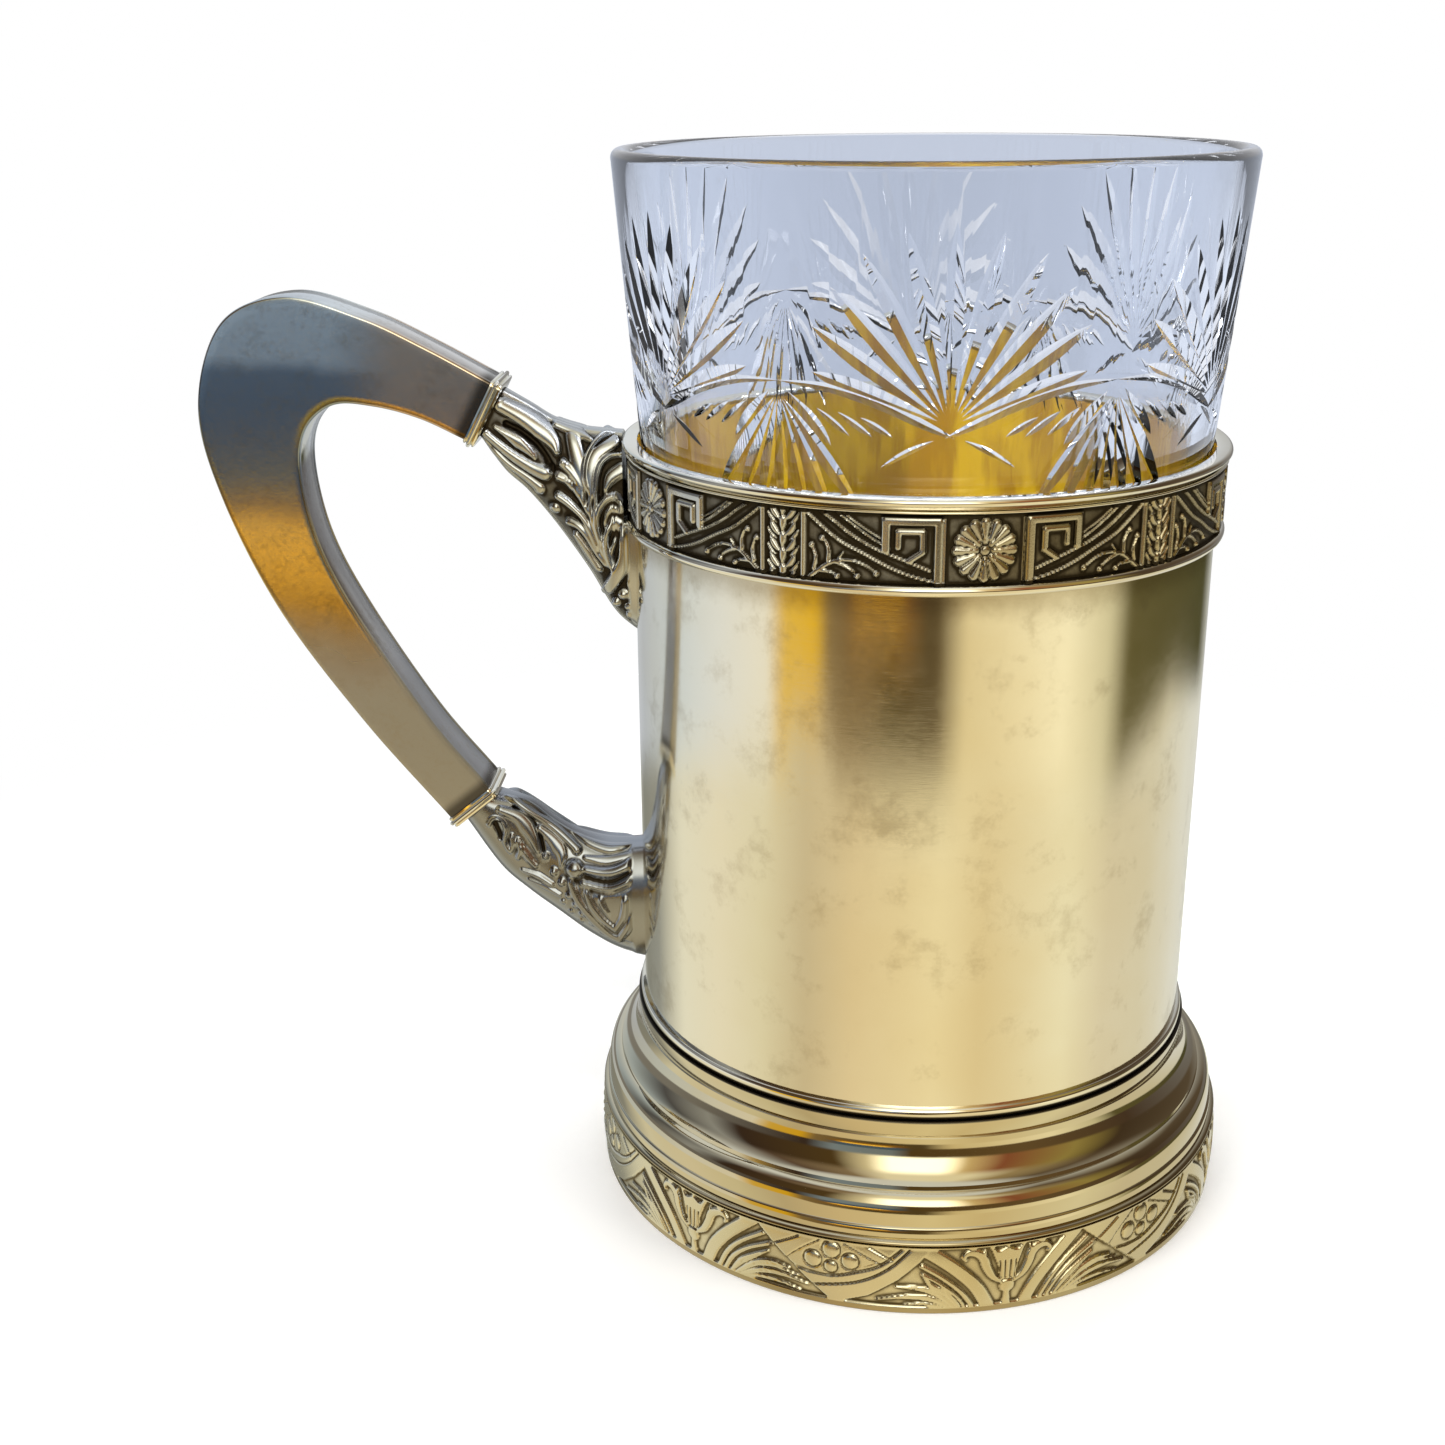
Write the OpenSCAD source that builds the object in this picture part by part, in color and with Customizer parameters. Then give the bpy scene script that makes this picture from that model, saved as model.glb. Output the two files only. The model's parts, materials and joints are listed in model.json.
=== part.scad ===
// Tea glass holder with a loop handle and a cut glass standing in it.
// Millimetres, +Z up. The origin is on the sleeve's axis, on the plane that the foot rests on.
// The handle points along -X, and azimuths are counted from -Y towards +X.

/* [Sleeve] */
// Outside diameter of the sleeve
sleeve_d = 70; // [66:0.5:76]
// Thickness of the sleeve's sheet
sleeve_wall = 0.6; // [0.5:0.1:0.9]
// Height of the plain part of the sleeve, between the foot wire and the frieze
sleeve_plain_h = 61.7; // [52:0.1:74]
// Height of the wire round the sleeve's bottom edge
foot_wire_h = 1.4; // [1:0.1:2]
// How far the foot wire stands out from the sleeve
foot_wire_proud = 0.6; // [0.4:0.1:0.8]
// Thickness of the disc that the glass stands on
floor_t = 0.9; // [0.7:0.1:1.4]
// Height of the turned-down edge of that disc
floor_skirt_h = 1.6; // [1.4:0.1:2.4]

/* [Frieze] */
// Height of the moulding below the frieze
lower_wire_h = 1.2; // [0.8:0.1:1.8]
// How far that moulding stands out from the sleeve
lower_wire_proud = 1.1; // [0.9:0.1:1.4]
// Height of the stamped ornamental strip
frieze_h = 7.6; // [6:0.1:10]
// Thickness of the strip's sunk ground
frieze_ground_t = 0.4; // [0.3:0.05:0.5]
// How far the strip's raised ornament stands out from the sleeve
frieze_proud = 0.9; // [0.7:0.05:1.1]
// Angle that one repeat of the ornament takes
frieze_repeat_a = 70; // [60:1:80]
// Angle that the plain plate over the strip's seam takes, under the handle
seam_plate_a = 10; // [6:1:12]
// Azimuth of the middle of the front rosette
frieze_front_a = 8; // [0:1:20]
// Height of the thin wire above the frieze
upper_wire_h = 0.45; // [0.35:0.05:0.8]
// How far that wire stands out from the sleeve
upper_wire_proud = 1; // [0.8:0.05:1.2]
// Height of the groove between that wire and the rim
rim_groove_h = 0.35; // [0.2:0.05:0.6]
// Height of the rounded rim
rim_h = 0.9; // [0.7:0.1:1.4]
// How far the rim stands out from the sleeve
rim_proud = 1.35; // [1.2:0.05:1.7]

/* [Foot] */
// Height of the flat ring that the holder rests on
base_ring_h = 0.8; // [0.6:0.1:1.2]
// Width of that ring, from its inner edge to the relief band's foot
base_ring_w = 6.3; // [4:0.1:9]
// How far the relief band's foot stands out from the sleeve
base_ring_proud = 5.9; // [5.4:0.1:7]
// Height of the relief band
band_h = 8.3; // [7:0.1:10]
// How far the relief band swells out past its lower edge
band_swell = 0.4; // [0.2:0.05:0.6]
// Height of the bead above the relief band
bead_h = 0.8; // [0.6:0.1:1.2]
// Height of the foot's convex shoulder
ovolo_h = 5.4; // [4.5:0.1:7]
// Height of the plain fillet at the shoulder's lower edge
ovolo_fillet_h = 2.5; // [1.8:0.1:3]
// How far the shoulder's lower edge stands out from the sleeve
ovolo_proud = 5.3; // [5:0.1:5.6]
// Height of the foot's concave neck
cove_h = 7.5; // [6:0.1:9]
// Height of the upright stretch at the neck's top
cove_upright_h = 2.2; // [1.6:0.1:2.8]
// How far the neck's top stands out from the sleeve
cove_top_proud = 0.9; // [0.8:0.05:1.1]
// How far the neck's lower edge stands out from the sleeve
cove_low_proud = 3.4; // [3:0.1:3.8]
// Thickness of the foot's sheet
foot_wall = 0.9; // [0.7:0.1:1.1]

/* [Handle] */
// Distance from the sleeve to the outermost point of the grip
reach = 52.5; // [44:0.5:60]
// Width of the grip across its two cheeks
grip_w = 7.5; // [6.6:0.1:9.5]
// Thickness of each cheek
cheek_t = 0.8; // [0.6:0.1:1]
// Thickness of the strips between the cheeks
strip_t = 0.8; // [0.6:0.1:1]
// Thickness of each collar's flange
collar_t = 1.5; // [1.2:0.1:2.4]
// How far the flange stands out round the grip
collar_lip = 0.7; // [0.5:0.1:1.2]
// Length of the collar's spigot inside the grip
spigot_l = 1.6; // [1.2:0.1:2.4]
// Play round the spigot
spigot_play = 0.5; // [0.4:0.1:0.8]
// Width of the brackets at the collars
neck_w = 6; // [5:0.1:6.5]
// Depth of the upper bracket at its collar
upper_neck_depth = 6.6; // [5.6:0.1:7]
// Depth of the lower bracket at its collar
lower_neck_depth = 5.6; // [4.8:0.1:6]
// Width of the upper bracket where it meets the sleeve
upper_root_w = 9.2; // [8:0.1:11]
// Width of the lower bracket where it meets the sleeve
lower_root_w = 9.2; // [8:0.1:11]
// How far the brackets' curls stand out from their flanks
curl_proud = 0.5; // [0.3:0.1:0.8]

/* [Glass] */
// Height of the glass
glass_h = 105; // [98:0.5:112]
// Gap between the glass and the holder, at the rim and under the base
glass_gap = 0.3; // [0.2:0.05:0.5]
// How much the glass widens in radius above the holder's rim
glass_flare = 2.7; // [1.5:0.1:3.5]
// How much the glass narrows in radius from the holder's rim to its base
glass_taper = 5; // [3:0.1:7]
// Wall thickness of the glass at its mouth
glass_rim_wall = 2; // [1.6:0.1:2.4]
// Wall thickness of the glass near its base
glass_low_wall = 3.2; // [2.6:0.1:4]
// Thickness of the glass's base
glass_base = 8; // [5:0.5:10]
// Rounding of the base's edge
glass_edge_r = 3; // [2:0.5:4]
// Depth of the hollow under the base
punt_h = 0.8; // [0.5:0.1:1.2]

/* [Hidden] */
$fn = 96;

overrun = 1;
curve_n = 8;
wire_n = 10;
grip_n = 5;

silver = "#d2cbb4";
oxidised = "#8d8674";
gilt = "#c9a24a";
crystal = "#dfe8f3";

// Radii and heights, stacked up from the table
sleeve_r = sleeve_d / 2;
sleeve_in_r = sleeve_r - sleeve_wall;
band_z = base_ring_h;
bead_z = band_z + band_h;
ovolo_z = bead_z + bead_h;
cove_z = ovolo_z + ovolo_h;
foot_top_z = cove_z + cove_h;
plain_z = foot_top_z + foot_wire_h;
lower_wire_z = plain_z + sleeve_plain_h;
frieze_z = lower_wire_z + lower_wire_h;
upper_wire_z = frieze_z + frieze_h;
sleeve_top_z = upper_wire_z + upper_wire_h + rim_groove_h;
rim_z = sleeve_top_z + rim_h;
floor_z = foot_top_z + floor_skirt_h;
base_r = sleeve_r + base_ring_proud;
ovolo_r = sleeve_r + ovolo_proud;
cove_top_r = sleeve_r + cove_top_proud;
cove_low_r = sleeve_r + cove_low_proud;
lap_r = cove_low_r - 2 * foot_wall;

// Curves: a cubic through four control points, a smooth line through a list of points, and its offset
function cubic(a, b, c, d, n) = [for (i = [0 : n]) let (t = i / n, s = 1 - t)
    s * s * s * a + 3 * s * s * t * b + 3 * s * t * t * c + t * t * t * d];
function at(p, i) = i < 0 ? 2 * p[0] - p[1]
    : i >= len(p) ? 2 * p[len(p) - 1] - p[len(p) - 2] : p[i];
function smooth(p, n) = [for (k = [0 : len(p) - 2], i = [0 : k == len(p) - 2 ? n : n - 1])
    let (t = i / n, a = at(p, k - 1), b = p[k], c = p[k + 1], d = at(p, k + 2))
    (2 * b + (c - a) * t + (2 * a - 5 * b + 4 * c - d) * t * t + (3 * b - a - 3 * c + d) * t * t * t) / 2];
function backwards(p) = [for (i = [len(p) - 1 : -1 : 0]) p[i]];
function unit(v) = v / norm(v);
function left(v) = [-v[1], v[0]];
function beside(p, side, start, end) = [for (i = [0 : len(p) - 1]) i == 0 ? p[0] + start
    : i == len(p) - 1 ? p[i] + end : p[i] + side * left(unit(p[i + 1] - p[i - 1]))];

// A ring of half-round wire soldered to a wall of radius r, standing out by proud, from z up by h
module wire_ring(r, z, h, proud) {
    rotate_extrude()
        polygon(concat([[r, z]],
            [for (i = [0 : wire_n]) let (a = -90 + 180 * i / wire_n)
                [r + proud / 2 + proud / 2 * cos(a), z + h / 2 + h / 2 * sin(a)]],
            [[r, z + h]]));
}

// Everything from radius r_in to r_out between z and z + h
module pipe(r_in, r_out, z, h) {
    translate([0, 0, z]) difference() {
        cylinder(r = r_out, h = h);
        translate([0, 0, -overrun]) cylinder(r = r_in, h = h + 2 * overrun);
    }
}

module sleeve() {
    color(silver) pipe(sleeve_in_r, sleeve_r, foot_top_z, sleeve_top_z - foot_top_z);
}

module floor_disc() {
    skirt_in_r = sleeve_in_r - foot_wall;
    color(gilt) translate([0, 0, foot_top_z]) difference() {
        cylinder(r = sleeve_in_r, h = floor_skirt_h);
        translate([0, 0, -overrun]) cylinder(r = skirt_in_r, h = floor_skirt_h - floor_t + overrun);
    }
}

module rim_lip() {
    color(silver) rotate_extrude()
        polygon(concat([[sleeve_in_r, sleeve_top_z]],
            [for (i = [0 : wire_n]) let (a = -90 + 180 * i / wire_n)
                [sleeve_r + rim_proud - rim_h / 2 + rim_h / 2 * cos(a), sleeve_top_z + rim_h / 2 + rim_h / 2 * sin(a)]],
            [[sleeve_in_r + rim_h / 4, rim_z], [sleeve_in_r, rim_z - rim_h / 4]]));
}

module frieze_upper_wire() {
    color(silver) wire_ring(sleeve_r, upper_wire_z, upper_wire_h, upper_wire_proud);
}

module frieze_lower_wire() {
    color(silver) wire_ring(sleeve_r, lower_wire_z, lower_wire_h, lower_wire_proud);
}

module sleeve_foot_wire() {
    color(silver) wire_ring(sleeve_r, foot_top_z, foot_wire_h, foot_wire_proud);
}

// Frieze: the strip is cut where its ends meet under the handle, and a plain plate covers the seam.
// Places are shares of one repeat's angle, counted from the rosette's middle.
seam_a = -90;
rosette_share = 0.44;
bar_share = 0.012;
box_edge_share = 0.1;
key_share = 0.17;
key_w_share = 0.105;
key_h_share = 0.72;
leaf_w_share = 0.12;
mm_per_degree = PI * sleeve_d / 360;

// A block on the strip, w wide and h high, in the middle of the strip, at azimuth a
module frieze_block(a, w, h) {
    rotate([0, 0, a]) translate([-w / 2, -sleeve_r - frieze_proud - overrun, frieze_z + (frieze_h - h) / 2])
        cube([w, frieze_proud + 2 * overrun, h]);
}

module frieze_rosette(a) {
    rotate([0, 0, a]) translate([0, -sleeve_r - frieze_proud - overrun, frieze_z + frieze_h / 2])
        rotate([-90, 0, 0]) cylinder(r = rosette_share * frieze_h, h = frieze_proud + 2 * overrun, $fn = 32);
}

// Whether azimuth a lies between the strip's two ends
function on_strip(a) = a > seam_a && a < seam_a + 360;

module frieze_repeat(a) {
    step_w = frieze_repeat_a * mm_per_degree;
    if (on_strip(a)) frieze_rosette(a);
    for (side = [-1, 1]) {
        edge_a = a + side * box_edge_share * frieze_repeat_a;
        key_a = a + side * key_share * frieze_repeat_a;
        leaf_a = a + (0.5 + side * leaf_w_share / 2) * frieze_repeat_a;
        if (on_strip(edge_a)) frieze_block(edge_a, bar_share * step_w, frieze_h);
        if (on_strip(key_a)) frieze_block(key_a, key_w_share * step_w, key_h_share * frieze_h);
        if (on_strip(leaf_a)) frieze_block(leaf_a, bar_share * step_w, frieze_h);
    }
}

module frieze_band() {
    first_repeat = ceil((frieze_front_a - seam_a) / frieze_repeat_a);
    last_repeat = ceil((seam_a + 360 - frieze_front_a) / frieze_repeat_a);
    color(oxidised) union() {
        pipe(sleeve_r, sleeve_r + frieze_ground_t, frieze_z, frieze_h);
        intersection() {
            pipe(sleeve_r + frieze_ground_t / 2, sleeve_r + frieze_proud, frieze_z, frieze_h);
            union() {
                for (k = [-first_repeat : last_repeat]) frieze_repeat(frieze_front_a + k * frieze_repeat_a);
                frieze_block(seam_a, seam_plate_a * mm_per_degree, frieze_h);
            }
        }
    }
}

// Foot: a concave neck over a convex shoulder, lapped at the seam between them
module foot_cove() {
    outside = concat([[cove_top_r, foot_top_z]],
        cubic([cove_top_r, foot_top_z - cove_upright_h], [cove_top_r, cove_z + 0.45 * cove_h],
            [cove_low_r - 0.5 * cove_low_proud, cove_z + 0.16 * cove_h],
            [cove_low_r - foot_wall / 8, cove_z + foot_wall / 2], curve_n),
        [[cove_low_r, cove_z]]);
    inside = concat([[lap_r, cove_z]],
        cubic([lap_r, cove_z + foot_wall / 4], [lap_r - foot_wall, cove_z + foot_wall],
            [cove_top_r - foot_wall, cove_z + 0.4 * cove_h],
            [cove_top_r - foot_wall, foot_top_z - cove_upright_h], curve_n),
        [[cove_top_r - foot_wall, foot_top_z - foot_wall], [sleeve_in_r - foot_wall, foot_top_z - foot_wall],
            [sleeve_in_r - foot_wall, foot_top_z]]);
    color(silver) rotate_extrude() polygon(concat(outside, inside));
}

module foot_ovolo() {
    fillet_z = ovolo_z + ovolo_fillet_h;
    edge_r = ovolo_r - foot_wall / 4;
    outside = concat(cubic([cove_low_r, cove_z], [ovolo_r - 0.4 * foot_wall, cove_z - 0.1 * ovolo_h],
        [edge_r, fillet_z + 0.25 * ovolo_h], [edge_r, fillet_z], curve_n),
        [[ovolo_r, fillet_z - foot_wall / 8], [ovolo_r, ovolo_z]]);
    inside = concat([[ovolo_r - foot_wall, ovolo_z]],
        cubic([ovolo_r - foot_wall, fillet_z - foot_wall / 2], [ovolo_r - foot_wall, cove_z - foot_wall],
            [cove_low_r, cove_z - foot_wall], [lap_r, cove_z - foot_wall], curve_n),
        [[lap_r, cove_z]]);
    color(silver) rotate_extrude() polygon(concat(outside, inside));
}

module foot_bead() {
    color(silver) wire_ring(ovolo_r - foot_wall, bead_z, bead_h, base_r - ovolo_r + foot_wall);
}

module foot_band() {
    mid_z = band_z + band_h / 2;
    outside = cubic([base_r, band_z], [base_r + band_swell, mid_z - band_h / 6],
        [base_r + band_swell, mid_z + band_h / 6], [base_r, bead_z], curve_n);
    color(silver) rotate_extrude()
        polygon(concat(outside, [[ovolo_r - foot_wall, bead_z], [ovolo_r - foot_wall, band_z]]));
}

module foot_base_ring() {
    edge = base_ring_h / 4;
    color(silver) rotate_extrude()
        polygon([[base_r - base_ring_w, 0], [base_r - edge, 0], [base_r, edge], [base_r, band_z],
            [base_r - base_ring_w, band_z]]);
}

// Handle: places are shares of the reach from the sleeve, and of the height from the foot to the rim
rise = rim_z - foot_top_z;
function place(shares) = [for (s = shares) [-(sleeve_r + s[0] * reach), foot_top_z + s[1] * rise]];

grip_outer_shares = [[0.318, 1.09], [0.46, 1.145], [0.606, 1.194], [0.781, 1.227], [0.93, 1.184],
    [1, 1.05], [0.966, 0.9], [0.852, 0.704], [0.668, 0.504], [0.471, 0.326]];
grip_inner_shares = [[0.387, 0.997], [0.485, 1.03], [0.59, 1.05], [0.686, 1.052], [0.755, 1.01],
    [0.773, 0.935], [0.743, 0.815], [0.661, 0.687], [0.509, 0.508], [0.373, 0.383]];
grip_outer = smooth(place(grip_outer_shares), grip_n);
grip_inner = smooth(place(grip_inner_shares), grip_n);
grip_end = len(grip_outer) - 1;
top_across = unit(grip_outer[0] - grip_inner[0]);
low_across = unit(grip_outer[grip_end] - grip_inner[grip_end]);

// Extrudes an outline drawn in X and Z along Y, w wide, from the middle plane
module flat(outline, w) {
    rotate([90, 0, 0]) linear_extrude(height = w, center = true) polygon(outline);
}

module cheek(side) {
    color(silver) translate([0, side * (grip_w - cheek_t) / 2, 0])
        flat(concat(grip_outer, backwards(grip_inner)), cheek_t);
}

module grip_near_cheek() {
    cheek(-1);
}

module grip_far_cheek() {
    cheek(1);
}

module grip_outer_strip() {
    color(silver) flat(concat(grip_outer,
        backwards(beside(grip_outer, strip_t, -strip_t * top_across, -strip_t * low_across))), grip_w - 2 * cheek_t);
}

module grip_inner_strip() {
    color(silver) flat(concat(backwards(grip_inner),
        beside(grip_inner, -strip_t, strip_t * top_across, strip_t * low_across)), grip_w - 2 * cheek_t);
}

// Collar: a flange of three steps across the grip's end, with a spigot into the grip
module collar(outer, inner, turn) {
    depth = norm(outer - inner);
    mid = (outer + inner) / 2;
    across = (outer - inner) / depth;
    into = turn * left(across);
    spigot_w = grip_w - 2 * cheek_t - 2 * spigot_play;
    spigot_depth = depth - 2 * strip_t - 4 * spigot_play;
    step = collar_lip / 3;
    color(silver) translate([mid[0], 0, mid[1]]) rotate([0, -atan2(into[1], into[0]), 0]) {
        for (k = [0 : 2])
            translate([-collar_t * (k + 0.5) / 3, 0, 0])
                cube([collar_t / 3, grip_w + 2 * collar_lip - 2 * step * abs(k - 1),
                    depth + 2 * collar_lip - 2 * step * abs(k - 1)], center = true);
        translate([0, -spigot_w / 2, -spigot_depth / 2]) cube([spigot_l, spigot_w, spigot_depth]);
    }
}

module upper_collar() {
    collar(grip_outer[0], grip_inner[0], 1);
}

module lower_collar() {
    collar(grip_outer[grip_end], grip_inner[grip_end], -1);
}

// The two corners of a bracket's end on its collar's back face, the outer one first
function neck_corners(outer, inner, turn, depth) = let (across = unit(outer - inner),
    mid = (outer + inner) / 2 - turn * collar_t * left(across))
    [mid + across * depth / 2, mid - across * depth / 2];

// Bracket: rounded sections from the collar to inside the sleeve, each between a top and a bottom point,
// cut away where the sleeve and the frieze's mouldings are
section_n = 20;
section_power = 0.8;
bracket_n = 3;
upper_top_shares = [[0.24, 1.05], [0.185, 1.026], [0.124, 1.012], [0.067, 1.007], [0.01, 1.004], [-0.038, 1.003]];
upper_bottom_shares = [[0.303, 0.939], [0.251, 0.904], [0.189, 0.85], [0.114, 0.772], [0.048, 0.693],
    [-0.029, 0.648]];
lower_top_shares = [[0.282, 0.345], [0.225, 0.3125], [0.166, 0.287], [0.099, 0.272], [0.034, 0.27],
    [-0.038, 0.277]];
lower_bottom_shares = [[0.362, 0.22], [0.293, 0.1725], [0.221, 0.133], [0.137, 0.088], [0.057, 0.057],
    [-0.038, 0.04]];
// How far each section has widened from the neck's width to the root's
widen_shares = [0, 0, 0.08, 0.35, 0.7, 0.95, 1];

function rounder(x) = sign(x) * pow(abs(x), section_power);

module loft(top, bottom, half_w) {
    last = len(top) - 1;
    points = [for (k = [0 : last], i = [0 : section_n - 1]) let (a = 360 * i / section_n,
        p = (top[k] + bottom[k]) / 2 + (top[k] - bottom[k]) / 2 * rounder(cos(a)))
        [p[0], half_w[k] * rounder(sin(a)), p[1]]];
    skin = [for (k = [0 : last - 1], i = [0 : section_n - 1], half = [0, 1])
        let (a = k * section_n, b = a + section_n, j = (i + 1) % section_n)
        half == 0 ? [a + i, b + j, b + i] : [a + i, a + j, b + j]];
    caps = [for (i = [1 : section_n - 2], end = [0, last * section_n])
        end == 0 ? [0, i + 1, i] : [end, end + i, end + i + 1]];
    polyhedron(points, concat(skin, caps));
}

module bracket(corners, top_shares, bottom_shares, root_w) {
    difference() {
        loft(smooth(concat([corners[0]], place(top_shares)), bracket_n),
            smooth(concat([corners[1]], place(bottom_shares)), bracket_n),
            smooth([for (s = widen_shares) (neck_w + s * (root_w - neck_w)) / 2], bracket_n));
        cylinder(r = sleeve_r, h = 2 * rim_z);
        translate([0, 0, lower_wire_z]) cylinder(r = sleeve_r + rim_proud, h = rim_z);
    }
}

// Round curls on both flanks of a bracket: places in shares as above, with radius and half the span
// across the bracket as shares of its root's width
upper_curl_shares = [[0.108, 0.93, 0.24, 0.45], [0.085, 0.85, 0.2, 0.5], [0.062, 0.78, 0.14, 0.5]];
lower_curl_shares = [[0.168, 0.235, 0.12, 0.42], [0.221, 0.2, 0.06, 0.38], [0.193, 0.176, 0.06, 0.4],
    [0.165, 0.152, 0.06, 0.44], [0.137, 0.128, 0.06, 0.47], [0.109, 0.104, 0.06, 0.5]];

module curls(shares, root_w) {
    for (s = shares) {
        spot = place([s])[0];
        translate([spot[0], 0, spot[1]]) rotate([90, 0, 0])
            cylinder(r = s[2] * root_w, h = 2 * (s[3] * root_w + curl_proud / 2), center = true, $fn = 32);
    }
}

upper_neck = neck_corners(grip_outer[0], grip_inner[0], 1, upper_neck_depth);
lower_neck = neck_corners(grip_outer[grip_end], grip_inner[grip_end], -1, lower_neck_depth);

module upper_bracket() {
    color(oxidised) {
        bracket(upper_neck, upper_top_shares, upper_bottom_shares, upper_root_w);
        curls(upper_curl_shares, upper_root_w);
    }
}

module lower_bracket() {
    color(oxidised) {
        bracket([lower_neck[1], lower_neck[0]], lower_top_shares, lower_bottom_shares, lower_root_w);
        curls(lower_curl_shares, lower_root_w);
    }
}

// Glass: stands on the floor disc, just clears the rim, and widens above it
glass_z = floor_z + glass_gap;
glass_top_z = glass_z + glass_h;
glass_lip_r = sleeve_in_r - glass_gap;
glass_rim_r = glass_lip_r + glass_flare;
glass_base_r = glass_lip_r - glass_taper;
punt_r = glass_base_r - 2 * glass_edge_r;

module tea_glass() {
    lip_wall = (glass_rim_wall + glass_low_wall) / 2;
    mouth_z = glass_top_z - glass_rim_wall / 2;
    mouth_r = glass_rim_r - glass_rim_wall / 2;
    hollow_z = glass_z + glass_base;
    hollow_r = glass_base_r - glass_low_wall;
    outside = concat([[punt_r, glass_z], [glass_base_r - glass_edge_r, glass_z]],
        [for (i = [1 : curve_n]) let (a = -90 + 90 * i / curve_n)
            [glass_base_r - glass_edge_r * (1 - cos(a)), glass_z + glass_edge_r * (1 + sin(a))]],
        [[glass_lip_r, rim_z]],
        [for (i = [0 : curve_n]) let (a = 180 * i / curve_n)
            [mouth_r + glass_rim_wall / 2 * cos(a), mouth_z + glass_rim_wall / 2 * sin(a)]]);
    inside = concat([[glass_lip_r - lip_wall, rim_z]],
        [for (i = [0 : curve_n]) let (a = -90 * i / curve_n)
            [hollow_r - glass_edge_r * (1 - cos(a)), hollow_z + glass_edge_r * (1 + sin(a))]],
        [[0, hollow_z], [0, glass_z + punt_h], [punt_r - punt_h, glass_z + punt_h]]);
    color(crystal, 0.4) rotate_extrude() polygon(concat(outside, inside));
}

sleeve();
floor_disc();
rim_lip();
frieze_upper_wire();
frieze_band();
frieze_lower_wire();
sleeve_foot_wire();
foot_cove();
foot_ovolo();
foot_bead();
foot_band();
foot_base_ring();
grip_near_cheek();
grip_far_cheek();
grip_outer_strip();
grip_inner_strip();
upper_collar();
lower_collar();
upper_bracket();
lower_bracket();
tea_glass();
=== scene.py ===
"""Looks of a silver tea glass holder with its cut glass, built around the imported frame.

Lengths in the makers below are millimetres in the part's own frame: +Z up, the handle towards -X,
and azimuths counted in degrees from -Y towards +X. mesh_piece() turns them into metres.
"""
import json
import math

import bmesh
import bpy
import numpy as np
from mathutils import Matrix, Vector

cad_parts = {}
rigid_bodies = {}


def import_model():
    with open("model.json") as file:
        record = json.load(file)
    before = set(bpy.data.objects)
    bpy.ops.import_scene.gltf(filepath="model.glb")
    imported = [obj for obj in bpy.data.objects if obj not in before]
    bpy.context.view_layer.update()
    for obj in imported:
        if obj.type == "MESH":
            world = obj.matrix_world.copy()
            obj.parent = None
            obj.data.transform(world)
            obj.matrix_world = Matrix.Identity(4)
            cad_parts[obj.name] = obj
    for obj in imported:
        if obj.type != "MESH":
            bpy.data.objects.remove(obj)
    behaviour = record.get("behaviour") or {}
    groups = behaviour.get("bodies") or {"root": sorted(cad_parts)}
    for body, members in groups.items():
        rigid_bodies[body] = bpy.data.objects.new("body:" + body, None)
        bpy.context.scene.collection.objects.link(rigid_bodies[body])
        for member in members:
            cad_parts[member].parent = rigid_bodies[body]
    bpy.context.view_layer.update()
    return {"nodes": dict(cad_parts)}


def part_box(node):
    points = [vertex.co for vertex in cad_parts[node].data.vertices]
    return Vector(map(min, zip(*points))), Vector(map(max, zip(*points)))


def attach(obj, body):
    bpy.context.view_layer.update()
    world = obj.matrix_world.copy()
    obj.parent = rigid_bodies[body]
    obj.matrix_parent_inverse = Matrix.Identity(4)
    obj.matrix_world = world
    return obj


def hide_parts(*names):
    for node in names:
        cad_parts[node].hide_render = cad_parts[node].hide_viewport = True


for leftover in list(bpy.data.objects):
    bpy.data.objects.remove(leftover)
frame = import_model()

MM = 0.001


# Sizes read from the frame

def low_z(node):
    """Lowest height of a CAD node, in mm."""
    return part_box(node)[0].z / MM


def top_z(node):
    """Highest height of a CAD node, in mm."""
    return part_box(node)[1].z / MM


def outer_r(node):
    """Largest radius of a CAD node that goes all round the axis, in mm."""
    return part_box(node)[1].x / MM


SLEEVE_R = outer_r("sleeve")
SLEEVE_WALL = 0.6
SLEEVE_IN_R = SLEEVE_R - SLEEVE_WALL
FOOT_TOP_Z = low_z("sleeve")
SLEEVE_TOP_Z = top_z("sleeve")
RIM_Z = top_z("rim_lip")
RISE = RIM_Z - FOOT_TOP_Z
# How far the grip's smooth outer line swings past its outermost given point
GRIP_SWING = 0.07
REACH = -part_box("grip_outer_strip")[0].x / MM - SLEEVE_R - GRIP_SWING
GRIP_W = (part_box("grip_far_cheek")[1].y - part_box("grip_near_cheek")[0].y) / MM
CHEEK_T = (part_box("grip_far_cheek")[1].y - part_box("grip_far_cheek")[0].y) / MM
STRIP_T = 0.8
COLLAR_T = 1.5
COLLAR_LIP = 0.7
LOWER_WIRE_Z = low_z("frieze_lower_wire")


def risen(share):
    """The height at a share of the rise from the foot's top to the rim, in mm."""
    return FOOT_TOP_Z + share * RISE


# Curves in a plane

def cubic(a, b, c, d, n):
    """n + 1 points along a cubic through four control points."""
    t = np.linspace(0, 1, n + 1)[:, None]
    s = 1 - t
    a, b, c, d = (np.array(p, float) for p in (a, b, c, d))
    return s ** 3 * a + 3 * s * s * t * b + 3 * s * t * t * c + t ** 3 * d


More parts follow.
